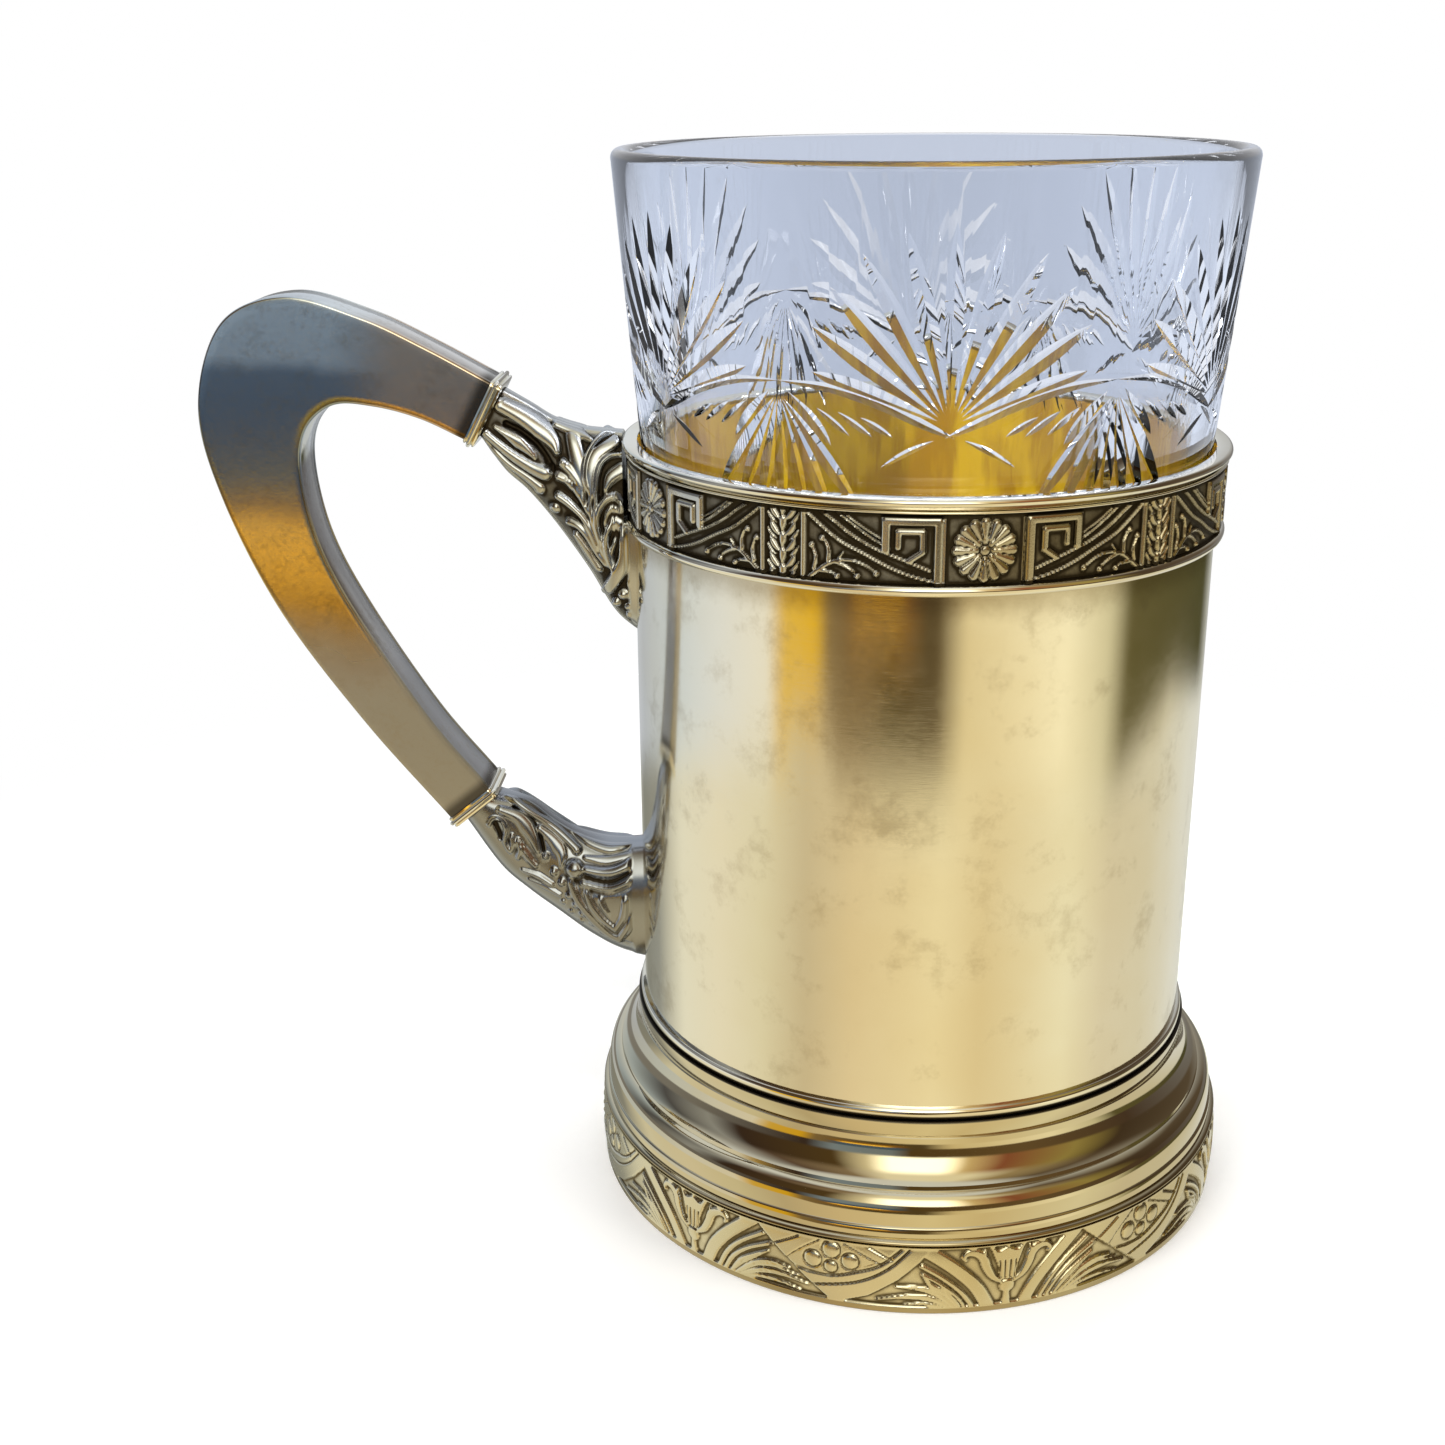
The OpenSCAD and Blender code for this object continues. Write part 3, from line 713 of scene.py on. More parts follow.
FRIEZE_REPEAT_A = 70.0
FRIEZE_FRONT_A = 8.0
FRIEZE_SEAM_A = -90.0
SEAM_PLATE_A = 10.0
FRIEZE_GROUND_T = 0.4
FRIEZE_GRID = (50, 1790)
FRIEZE_BACK_R = SLEEVE_R - 0.05
ROSETTE_R = 3.55
ROSETTE_H = 0.5
PETALS = 16
# The square spiral beside each rosette and its ridges: path, half width, height and crown
FRIEZE_KEY = [
    ([(4.19, 0), (4.19, 7.6)], 0.13, 0.42, 0.3),
    ([(4.85, 0.35), (4.85, 6.85), (10.25, 6.85), (10.25, 3.75)], 0.42, 0.5, 0.1),
    ([(4.41, 0.2), (4.41, 7.3), (10.66, 7.3), (10.66, 3.5)], 0.1, 0.36, 0.3),
    ([(10.55, 3.5), (7.87, 2.5), (5.66, 1.6)], 0.16, 0.4, 0.3),
    ([(7.87, 2.62), (6.45, 3.6), (6.45, 5.75), (9.0, 5.75), (9.0, 4.1)], 0.32, 0.46, 0.1),
]
# The bands that sweep from the key's foot up to the leaf panel: path, half width and height
FRIEZE_ARCS = [
    ([(4.45, 0.25), (7.13, 0.87), (9.78, 1.83), (12.43, 3.15), (15.07, 4.4), (17.13, 5.87),
     (19.04, 7.4)], 0.16, 0.42),
    ([(10.66, 3.52), (12.13, 4.18), (14.2, 5.36), (15.8, 6.53), (17.3, 7.5)], 0.15, 0.42),
    ([(10.66, 4.33), (12.1, 5.14), (13.9, 6.39), (15.5, 7.56)], 0.14, 0.4),
    ([(10.66, 4.84), (12.1, 5.65), (13.6, 6.6), (14.9, 7.56)], 0.1, 0.34),
]
# The stems of the leafy scroll under those bands, each with the ball that it ends in
FRIEZE_STEMS = [
    ([(18.75, 0.1), (17.87, 0.8), (16.5, 1.83), (15.2, 2.34), (13.9, 2.42), (12.6, 2.05), (11.5, 1.39)],
     (11.25, 1.1)),
    ([(15.66, 2.2), (14.5, 1.76), (13.6, 1.17)], (13.28, 0.73)),
    ([(17.4, 1.1), (16.4, 1.02), (15.8, 0.87)], (15.44, 0.58)),
    ([(16.4, 2.27), (16.4, 3.45), (16.76, 4.33)], (17.13, 4.55)),
    ([(18.0, 1.24), (17.8, 2.42), (18.1, 3.45)], (18.3, 3.74)),
]


def frieze_rosette(relief, middle):
    """Petals that widen outwards round a small star."""
    du, dv = relief.u, relief.v - middle
    rho = np.hypot(du, dv)
    fan = np.abs(np.cos(np.arctan2(dv, du) * PETALS / 2))
    edge = ROSETTE_R * (0.86 + 0.14 * fan ** 0.5)
    petal = ease(edge - rho, -0.05, 0.3) * (0.15 + 0.85 * fan ** 0.45)
    star = np.abs(np.cos(np.arctan2(dv, du) * PETALS / 4))
    inner = ease(1.45 * (0.72 + 0.28 * star) - rho, -0.05, 0.12)
    field = np.where(inner > 0.5, 0.25 + 0.6 * star * ease(rho, 0.5, 0.9), petal)
    field = np.maximum(field, 0.9 * ease(0.62 - rho, 0, 0.25))
    relief.h = np.maximum(relief.h, ROSETTE_H * field)


def frieze_scroll(relief):
    """The spiral, the sweeping bands and the leafy scroll between a rosette and the leaf panel."""
    for path, half, height, crown in FRIEZE_KEY:
        relief.stroke(path, half, height, crown=crown)
    for path, half, height in FRIEZE_ARCS:
        relief.stroke(smooth(path, 6), half, height)
    for path, ball in FRIEZE_STEMS:
        line = smooth(path, 6)
        relief.stroke(line, np.linspace(0.26, 0.14, len(line)), 0.36, crown=0.6)
        relief.pellet(ball, 0.34, 0.44)
    relief.stroke([(15.2, 2.64), (14.8, 3.2)], (0.16, 0.07), 0.3)


def frieze_leaves(relief, middle):
    """The upright panel of plaited leaves between its two bars."""
    relief.stroke([(middle - 2.43, 0), (middle - 2.43, 7.6)], 0.28, 0.48, crown=0.5)
    for level in range(5):
        low = -0.35 + 1.75 * level
        relief.leaf((middle, low), (middle, low + 1.95), 0.42, 0.46)
        relief.leaf((middle - 0.2, low - 0.5), (middle - 1.45, low + 1.2), 0.36, 0.42, 0.12)
        relief.leaf((middle - 0.75, low - 0.9), (middle - 1.85, low + 0.35), 0.22, 0.34, 0.1)


def make_frieze(material):
    """The stamped strip: repeats folded about each rosette, and a plain plate over its seam."""
    rows, columns = FRIEZE_GRID
    low, high = low_z("frieze_band"), top_z("frieze_band")
    ground = SLEEVE_R + FRIEZE_GROUND_T
    proud = outer_r("frieze_band") - ground
    per_degree = math.pi * 2 * ground / 360
    half_repeat = FRIEZE_REPEAT_A * per_degree / 2
    azimuth = FRIEZE_SEAM_A + np.arange(columns) * 360 / columns
    along = (azimuth - FRIEZE_FRONT_A) * per_degree
    folded = np.abs((along + half_repeat) % (2 * half_repeat) - half_repeat)
    v = np.linspace(0, high - low, rows)
    relief = Relief(np.tile(folded, rows), np.repeat(v, columns))
    frieze_rosette(relief, (high - low) / 2)
    frieze_scroll(relief)
    frieze_leaves(relief, half_repeat)
    border = np.minimum(relief.v, high - low - relief.v)
    relief.h = np.maximum(relief.h, 0.3 * ease(0.16 - border, 0, 0.1))
    field = relief.h.reshape(rows, columns)
    from_seam = np.minimum(azimuth - FRIEZE_SEAM_A, FRIEZE_SEAM_A + 360 - azimuth)
    field = np.maximum(field, proud * ease(SEAM_PLATE_A / 2 - from_seam, 0, 0.25))
    field = np.clip(field, 0, proud)
    hollow = np.clip(0.6 * (1 - field / 0.3) + 1.5 * hollows(field, 0.3, 5), 0, 1)
    hollow = np.maximum(hollow, ease(0.5 - border, 0, 0.25).reshape(rows, columns))
    heights = np.repeat(v[:, None] + low, columns, 1)
    piece = relief_ring("frieze", ground + field, heights, hollow, FRIEZE_BACK_R)
    dress(piece, material, "frieze_band")


# Foot band: places along it are mm from a lily's middle, and up from the band's lower edge

BAND_REPEAT_A = 56.0
BAND_FRONT_A = 15.0
BAND_RELIEF = 0.34
BAND_GRID = (52, 1760)
# Straps and leaf lobes that spring from the band's lower edge, right of one lily and left of the next,
# each as its path, its half width and whether it tapers to a point
BAND_STRAPS = [
    ([(2.14, -0.3), (3.4, 2.5), (5.2, 4.9), (7.1, 6.8), (9.2, 8.6)], 0.82, False),
    ([(4.0, -0.3), (5.5, 2.6), (7.5, 4.9), (10.7, 7.2)], 0.3, False),
    ([(4.9, -0.3), (6.3, 2.2), (8.5, 4.3), (11.8, 6.1)], 0.28, False),
    ([(5.8, -0.2), (7.6, 2.1), (9.6, 3.7), (11.2, 4.8)], 0.62, True),
    ([(6.4, -0.2), (9.4, 2.4), (11.8, 3.4), (14.0, 3.3)], 0.62, True),
    ([(9.6, 2.3), (12.0, 3.0), (15.2, 2.5)], 0.4, True),
    ([(6.9, -0.2), (10.2, 1.7), (13.2, 2.1), (16.4, 1.6)], 0.6, True),
    ([(7.2, -0.2), (10.2, 0.8), (13.0, 0.9), (15.4, 0.5)], 0.45, True),
    ([(37.9, -0.3), (36.2, 2.9), (33.9, 5.3), (31.5, 7.1), (29.6, 8.2)], 0.82, False),
    ([(36.1, -0.3), (34.4, 2.3), (32.1, 4.4), (29.8, 5.9)], 0.3, False),
    ([(35.2, -0.3), (33.8, 1.8), (31.8, 3.6), (29.9, 4.8)], 0.2, False),
    ([(34.6, -0.2), (32.6, 2.2), (31.0, 3.2), (29.9, 4.8)], 0.62, True),
    ([(34.2, -0.2), (31.4, 2.2), (29.2, 2.9), (26.8, 3.0)], 0.6, True),
    ([(33.8, -0.2), (30.8, 1.4), (28.0, 1.6), (24.6, 1.0)], 0.62, True),
    ([(33.4, -0.2), (30.4, 0.6), (27.8, 0.5)], 0.4, True),
]
# The plain panel that overlaps them, its engraved lines, and the almond with its berries
BAND_PANEL = [(8.9, 8.8), (19.3, -0.3), (23.6, 1.4), (27.1, 4.0), (29.6, 6.5), (31.4, 8.8)]
BAND_LINES = [
    ([(8.9, 8.7), (19.3, -0.3)], 0.1), ([(11.4, 5.9), (15.9, 8.5)], 0.1),
    ([(13.2, 4.3), (15.4, 6.4), (18.2, 8.4)], 0.1), ([(20.0, 8.3), (25.0, 5.9)], 0.11),
    ([(22.5, 8.6), (26.3, 6.6)], 0.1),
    ([(13.2, 4.2), (16.4, 3.7), (19.3, 3.7), (22.1, 4.6), (25.0, 5.9), (28.0, 8.6)], 0.15),
    ([(17.1, 1.9), (22.1, 3.2), (25.7, 5.3), (28.9, 8.6)], 0.13)]
BAND_ALMOND = [(13.4, 4.3), (16.4, 3.8), (19.3, 3.8), (22.1, 4.7), (24.6, 5.9), (20.3, 8.0), (18.0, 8.0),
               (15.4, 6.3)]
BAND_BERRIES = [((16.9, 5.4), 1.05), ((19.1, 7.0), 1.05), ((21.4, 5.8), 1.0), ((19.1, 4.75), 0.78)]


def band_lily(relief, middle, side):
    """Half of the three-part flower on its bulb."""
    def at(*points):
        """Places on this half's side of the middle."""
        return [(middle + side * u, v) for u, v in points]
    relief.stroke(at((0, -0.3), (0, 1.7)), (0.62, 0.34), 0.3, crown=0.15)
    relief.pellet((middle, 2.65), 0.95, 0.34, crown=0.6)
    relief.plate(at((-0.3, 3.7), (0.95, 3.7), (1.2, 5.6), (2.1, 8.0), (1.05, 7.5), (-0.3, 8.2)), 0.3)
    relief.stroke(at((1.7, 7.7), (2.15, 8.1)), (0.3, 0.12), 0.32)
    relief.stroke(at((0, 7.4), (0, 8.35)), (0.35, 0.1), 0.32)
    for u in (0.34, 1.0):
        relief.carve(at((u * 0.85, 3.9), (u, 6.2)), 0.11, 0.2)
    line = smooth(at((0.9, 3.4), (1.9, 4.3), (2.6, 5.6), (2.95, 6.7), (3.7, 7.4), (4.7, 7.55), (5.35, 7.0),
                     (5.1, 6.6)), 5)
    t = np.linspace(0, 1, len(line))
    relief.stroke(line, 0.24 + 0.34 * np.sin(np.pi * np.clip(t * 1.2, 0, 1)) ** 0.7, 0.32, crown=0.25)
    relief.stroke(at((2.95, 6.9), (2.75, 7.8)), (0.3, 0.14), 0.32)


def band_ornament(relief, period):
    """Everything between one lily and the next, and the facing half of each."""
    for path, half, pointed in BAND_STRAPS:
        line = smooth(path, 6)
        t = np.linspace(0, 1, len(line))
        if pointed:
            width = half * np.clip(1.15 - t, 0.1, 1) ** 0.7 * np.clip(0.35 + t * 1.6, 0, 1)
            relief.stroke(line, width, 0.31, crown=0.75)
            relief.carve(line[6:-4], 0.08, 0.1)
        else:
            relief.stroke(line, half, 0.29, crown=0.12)
    relief.plate(BAND_PANEL, 0.3)
    relief.plate(BAND_ALMOND, 0.12, sink=True)
    for path, half in BAND_LINES:
        relief.carve(smooth(path, 6), half, 0.2, crown=0.4)
    for centre, radius in BAND_BERRIES:
        relief.carve(dot(centre), radius + 0.2, 0.12, crown=0.0)
        relief.pellet(centre, radius, 0.33, crown=0.6)
    band_lily(relief, 0.0, 1)
    band_lily(relief, period, -1)


def make_foot_band(material):
    """The stamped band round the foot, on its swelling face."""
    rows, columns = BAND_GRID
    low, high = low_z("foot_band"), top_z("foot_band")
    edge_r = outer_r("foot_base_ring")
    swell = (outer_r("foot_band") - edge_r) * 4 / 3
    middle = (low + high) / 2
    h = high - low
    face = cubic((edge_r, low), (edge_r + swell, middle - h / 6), (edge_r + swell, middle + h / 6),
                 (edge_r, high), rows - 1)
    per_degree = math.pi * 2 * edge_r / 360
    half = BAND_REPEAT_A * per_degree / 2
    azimuth = FRIEZE_SEAM_A + np.arange(columns) * 360 / columns
    along = (azimuth - BAND_FRONT_A) * per_degree % (2 * half)
    relief = Relief(np.tile(along, rows), np.repeat(face[:, 1] - low, columns))
    band_ornament(relief, 2 * half)
    border = np.minimum(relief.v, h - relief.v)
    relief.h = np.maximum(relief.h, 0.28 * ease(0.3 - border, 0, 0.12))
    field = np.clip(relief.h, 0, BAND_RELIEF).reshape(rows, columns)
    hollow = np.clip(0.3 * (1 - field / 0.28) + 1.1 * hollows(field, 0.16, 4), 0, 1)
    sunk = (BAND_RELIEF - field) * ease(border.reshape(rows, columns), 0.0, 0.25)
    piece = relief_ring("foot_relief", face[:, :1] - sunk, np.repeat(face[:, 1:], columns, 1), hollow,
                        outer_r("foot_ovolo") - FOOT_WALL)
    dress(piece, material, "foot_band")


# Grip: four soldered plates between two side curves, given as shares of the reach and of the rise

GRIP_OUTER_SHARES = [
    (0.318, 1.09), (0.46, 1.145), (0.606, 1.194), (0.781, 1.227), (0.93, 1.184), (1, 1.05), (0.966, 0.9),
    (0.852, 0.704), (0.668, 0.504), (0.471, 0.326)]
GRIP_INNER_SHARES = [
    (0.387, 0.997), (0.485, 1.03), (0.59, 1.05), (0.686, 1.052), (0.755, 1.01), (0.773, 0.935),
    (0.743, 0.815), (0.661, 0.687), (0.509, 0.508), (0.373, 0.383)]
GRIP_N = 16
CHEEK_ROUND = 0.28
STRIP_ROUND = 0.07


def placed(shares):
    """Shares of the reach and of the rise as X and Z."""
    return [(-(SLEEVE_R + s * REACH), risen(t)) for s, t in shares]


def tube(name, rings, sharp=35.0):
    """Skins equal rings of points one after another and closes both ends."""
    rings = np.asarray(rings, float)
    count, size = rings.shape[:2]
    faces = grid_faces(count, size, False, True)
    faces.append(list(range(size)))
    faces.append(list(range((count - 1) * size, count * size)))
    return mesh_piece(name, rings.reshape(-1, 3), faces, sharp)


def plate_section(width, low, high, round_r):
    """A plate's section across its width: distance from one edge, and level between low and high."""
    bend = arc((round_r, high - round_r), (round_r, round_r), 180, 90, 5)
    other = np.column_stack([width - bend[::-1, 0], bend[::-1, 1]])
    t = np.linspace(0, 1, 15)[1:-1]
    flat = np.column_stack([bend[-1, 0] + t * (width - 2 * round_r), np.full(len(t), high)])
    return np.vstack([[[0, low]], bend, flat, other, [[width, low]]])


def make_cheek(outer, inner, side, node, material):
    """A flat side plate between the grip's two lines, its long edges rounded."""
    rings = []
    for a, b in zip(outer, inner):
        width = np.linalg.norm(b - a)
        section = plate_section(width, GRIP_W / 2 - CHEEK_T, GRIP_W / 2, CHEEK_ROUND)
        across = a + section[:, :1] / width * (b - a)
        rings.append(np.column_stack([across[:, 0], side * section[:, 1], across[:, 1]]))
    dress(tube(node + "_plate", rings), material, node)


def make_strip(line, inward, node, material):
    """A strip bent along one edge of the grip, between the cheeks."""
    run = np.gradient(line, axis=0)
    run /= np.linalg.norm(run, axis=1)[:, None]
    normal = np.column_stack([-run[:, 1], run[:, 0]]) * inward
    half, r = GRIP_W / 2 - CHEEK_T, STRIP_ROUND
    section = np.array([[-half, STRIP_T], [-half, r * 2], [-half + r, r], [-half + 3 * r, 0], [0, 0],
                        [half - 3 * r, 0], [half - r, r], [half, r * 2], [half, STRIP_T]])
    rings = [np.column_stack([p[0] + section[:, 1] * n[0], section[:, 0], p[1] + section[:, 1] * n[1]])
             for p, n in zip(line, normal)]
    dress(tube(node + "_plate", rings), material, node)


def make_grip(cheek_material, strip_material):
    """The hollow grip's two cheeks and two strips."""
    outer, inner = smooth(placed(GRIP_OUTER_SHARES), GRIP_N), smooth(placed(GRIP_INNER_SHARES), GRIP_N)
    make_cheek(outer, inner, -1, "grip_near_cheek", cheek_material)
    make_cheek(outer, inner, 1, "grip_far_cheek", cheek_material)
    make_strip(outer, 1, "grip_outer_strip", strip_material)
    make_strip(inner, -1, "grip_inner_strip", strip_material)


# Collars: a stack of rounded steps across each end of the grip, with a spigot into it

SPIGOT_L = 1.6
COLLAR_CORNER = 0.35
# The steps of a collar's front half, as how far back each one lies and its share of the lip; the back
# half mirrors them
COLLAR_STEPS = [(0.0, 0.3), (0.1, 0.52), (0.3, 0.55), (0.38, 0.3), (0.46, 0.42), (0.55, 0.85), (0.75, 1.0)]


def rounded_rectangle(half_a, half_b, corner):
    """Points round a rectangle with round corners."""
    quarter = [arc((sa * (half_a - corner), sb * (half_b - corner)), (corner, corner), start, start + 90, 5)
               for sa, sb, start in ((1, 1, 0), (-1, 1, 90), (-1, -1, 180), (1, -1, 270))]
    return np.vstack(quarter)


def make_collar(outer, inner, turn, node, material):
    """Sections from the spigot's end, inside the grip, to the bracket's side."""
    depth = np.linalg.norm(outer - inner)
    middle = (outer + inner) / 2
    across = (outer - inner) / depth
    into = turn * np.array([-across[1], across[0]])
    spigot = (GRIP_W / 2 - CHEEK_T - 0.5, depth / 2 - STRIP_T - 1.0)
    plain = (GRIP_W / 2, depth / 2)
    profile = COLLAR_STEPS + [(COLLAR_T - back, lip) for back, lip in COLLAR_STEPS[-2::-1]]
    steps = [(SPIGOT_L, spigot, 0), (0.0, spigot, 0)]
    steps += [(-back, plain, COLLAR_LIP * lip) for back, lip in profile]
    steps.append((-COLLAR_T, spigot, 0))
    rings = []
    for along, (half_y, half_d), out in steps:
        loop = rounded_rectangle(half_y + out, half_d + out, COLLAR_CORNER + out)
        spot = middle + loop[:, 1:] * across + along * into
        rings.append(np.column_stack([spot[:, 0], loop[:, 0], spot[:, 1]]))
    dress(tube(node + "_steps", rings, 50.0), material, node)


def make_collars(material):
    """The two collars, one across each end of the grip."""
    outer, inner = np.array(placed(GRIP_OUTER_SHARES)), np.array(placed(GRIP_INNER_SHARES))
    make_collar(outer[0], inner[0], 1, "upper_collar", material)
    make_collar(outer[-1], inner[-1], -1, "lower_collar", material)


# Brackets: rounded sections between a top and a bottom curve, with ornament raised on both flanks

SECTION_POWER = 0.8
NECK_W = 6.0
UPPER_NECK_DEPTH = 6.6
LOWER_NECK_DEPTH = 5.6
ROOT_W = 9.2
ORNAMENT_GROUND = 0.45
LOWER_GROUND = 0.27
LOWER_PANEL_H = 0.5
UPPER_PLAIN_W = 1.2
LOWER_PLAIN_W = 1.9
UPPER_TOP_SHARES = [
    (0.24, 1.05), (0.185, 1.026), (0.124, 1.012), (0.067, 1.007), (0.01, 1.004), (-0.038, 1.003)]
UPPER_BOTTOM_SHARES = [
    (0.303, 0.939), (0.251, 0.904), (0.189, 0.85), (0.114, 0.772), (0.048, 0.693), (-0.029, 0.648)]
LOWER_TOP_SHARES = [
    (0.282, 0.345), (0.225, 0.3125), (0.166, 0.287), (0.099, 0.272), (0.034, 0.27), (-0.038, 0.277)]
LOWER_BOTTOM_SHARES = [
    (0.362, 0.22), (0.293, 0.1725), (0.221, 0.133), (0.137, 0.088), (0.057, 0.057), (-0.038, 0.04)]
WIDEN_SHARES = [0, 0, 0.08, 0.35, 0.7, 0.95, 1]
BRACKET_N = 38
BRACKET_M = 300


def neck_corners(outer, inner, turn, depth):
    """The two corners of a bracket's end on its collar's back face, the outer one first."""
    outer, inner = np.array(outer), np.array(inner)
    across = (outer - inner) / np.linalg.norm(outer - inner)
    middle = (outer + inner) / 2 - turn * COLLAR_T * np.array([-across[1], across[0]])
    return middle + across * depth / 2, middle - across * depth / 2


# Ornament on the brackets' flanks, as X and Z: strokes are a path, its half widths from start to end, its
# height and its crown; grooves a path, its half width and depth; knobs a place, a radius and a height
UPPER_STROKES = [
    ([(-50.6, 100.2), (-48.2, 98.9), (-46.0, 97.3), (-44.6, 95.8), (-44.1, 94.6)],
     (1.0, 1.3, 0.5), 0.8, 0.9),
    ([(-51.6, 97.5), (-49.6, 96.2), (-48.0, 95.0), (-46.9, 93.8)], (0.25, 0.8, 0.3), 0.42, 0.9),
    ([(-52.8, 96.6), (-50.0, 94.3), (-47.4, 92.6), (-45.8, 91.9)], (0.5, 0.75, 0.95), 0.75, 0.8),
    ([(-53.4, 95.2), (-50.6, 92.9), (-48.2, 91.2), (-46.6, 89.9)], (0.4, 0.5, 0.7), 0.5, 0.8),
    ([(-44.2, 97.9), (-42.0, 97.0), (-40.0, 96.0)], (0.5, 0.6, 0.3), 0.7, 0.8),
    ([(-42.2, 96.6), (-41.8, 94.6), (-41.3, 92.0), (-40.9, 89.6)], (0.9, 1.05, 0.25), 0.6, 0.7),
    ([(-37.2, 95.8), (-39.4, 94.2), (-40.1, 92.0), (-40.0, 89.2)], (0.7, 0.85, 0.4), 0.62, 0.4),
    ([(-37.4, 97.0), (-38.6, 96.5), (-39.8, 95.4), (-40.6, 93.8), (-40.8, 91.8), (-40.4, 90.0)],
     (0.3, 0.32, 0.2), 0.9, 0.9),
    ([(-36.2, 92.6), (-37.6, 91.6), (-38.3, 90.0)], (0.9, 0.8, 0.3), 0.5, 0.6),
    ([(-36.2, 94.4), (-37.6, 94.2), (-38.7, 93.3), (-39.2, 91.8), (-39.4, 89.8), (-39.6, 87.0)],
     (0.3, 0.34, 0.25), 0.88, 0.9),
    ([(-43.4, 93.2), (-42.4, 92.2), (-41.5, 90.8), (-40.8, 89.2)], (0.7, 0.6, 0.3), 0.72, 0.9),
    ([(-44.0, 91.7), (-42.8, 90.9), (-41.4, 89.2), (-40.3, 87.2)], (0.55, 0.36, 0.4), 0.85, 0.9),
    ([(-44.1, 89.2), (-42.8, 88.3), (-41.2, 86.8), (-40.3, 85.2), (-39.4, 83.0)],
     (0.6, 0.52, 0.45), 0.85, 0.85),
    ([(-42.8, 86.0), (-41.6, 85.5), (-40.6, 84.3), (-39.6, 82.5), (-38.4, 80.8)],
     (0.6, 0.52, 0.42), 0.85, 0.85),
    ([(-42.2, 84.4), (-41.0, 82.4), (-39.5, 80.0)], (0.45, 0.6, 0.45), 0.7, 0.7),
    ([(-40.3, 88.6), (-39.8, 85.8), (-38.9, 83.0), (-38.0, 80.6)], (0.35, 0.5, 0.4), 0.75, 0.8),
    ([(-35.9, 88.0), (-36.9, 89.3), (-38.1, 89.1), (-39.1, 87.8), (-39.5, 86.0), (-39.0, 83.8)],
     (0.36, 0.42, 0.4), 0.9, 0.85),
    ([(-36.5, 87.6), (-37.6, 87.9), (-38.3, 86.9), (-38.5, 85.8)], (0.25, 0.3, 0.2), 0.6, 0.85),
    ([(-35.9, 85.2), (-37.1, 86.1), (-38.0, 85.4), (-38.4, 83.8), (-38.2, 82.2), (-37.7, 80.4)],
     (0.36, 0.42, 0.36), 0.9, 0.85),
    ([(-37.2, 83.9), (-37.8, 82.3), (-37.4, 80.8)], (0.25, 0.36, 0.2), 0.5, 0.8),
    ([(-35.9, 84.6), (-36.1, 81.6), (-37.1, 79.5), (-38.3, 77.6)], (0.75, 0.85, 0.8), 1.0, 0.2),
]
UPPER_GROOVES = [
    ([(-50.2, 97.9), (-48.2, 96.9), (-46.3, 95.1), (-44.9, 92.7)], 0.42, 0.7),
    ([(-51.4, 95.1), (-48.8, 93.2)], 0.1, 0.2)]
UPPER_KNOBS = [
    ((-43.4, 93.3), 0.65, 0.9), ((-44.0, 91.6), 0.55, 0.85), ((-44.1, 89.2), 0.6, 0.9),
    ((-42.9, 86.0), 0.6, 0.9), ((-36.2, 88.0), 0.45, 0.85), ((-35.7, 85.0), 0.6, 1.0),
    ((-46.7, 89.7), 0.7, 0.55), ((-44.9, 87.4), 0.75, 0.55), ((-35.4, 78.4), 0.65, 0.85),
    ((-36.5, 76.9), 0.75, 0.85), ((-37.6, 75.6), 0.65, 0.8), ((-36.0, 75.2), 0.5, 0.7),
    ((-35.8, 74.0), 0.65, 0.7)]
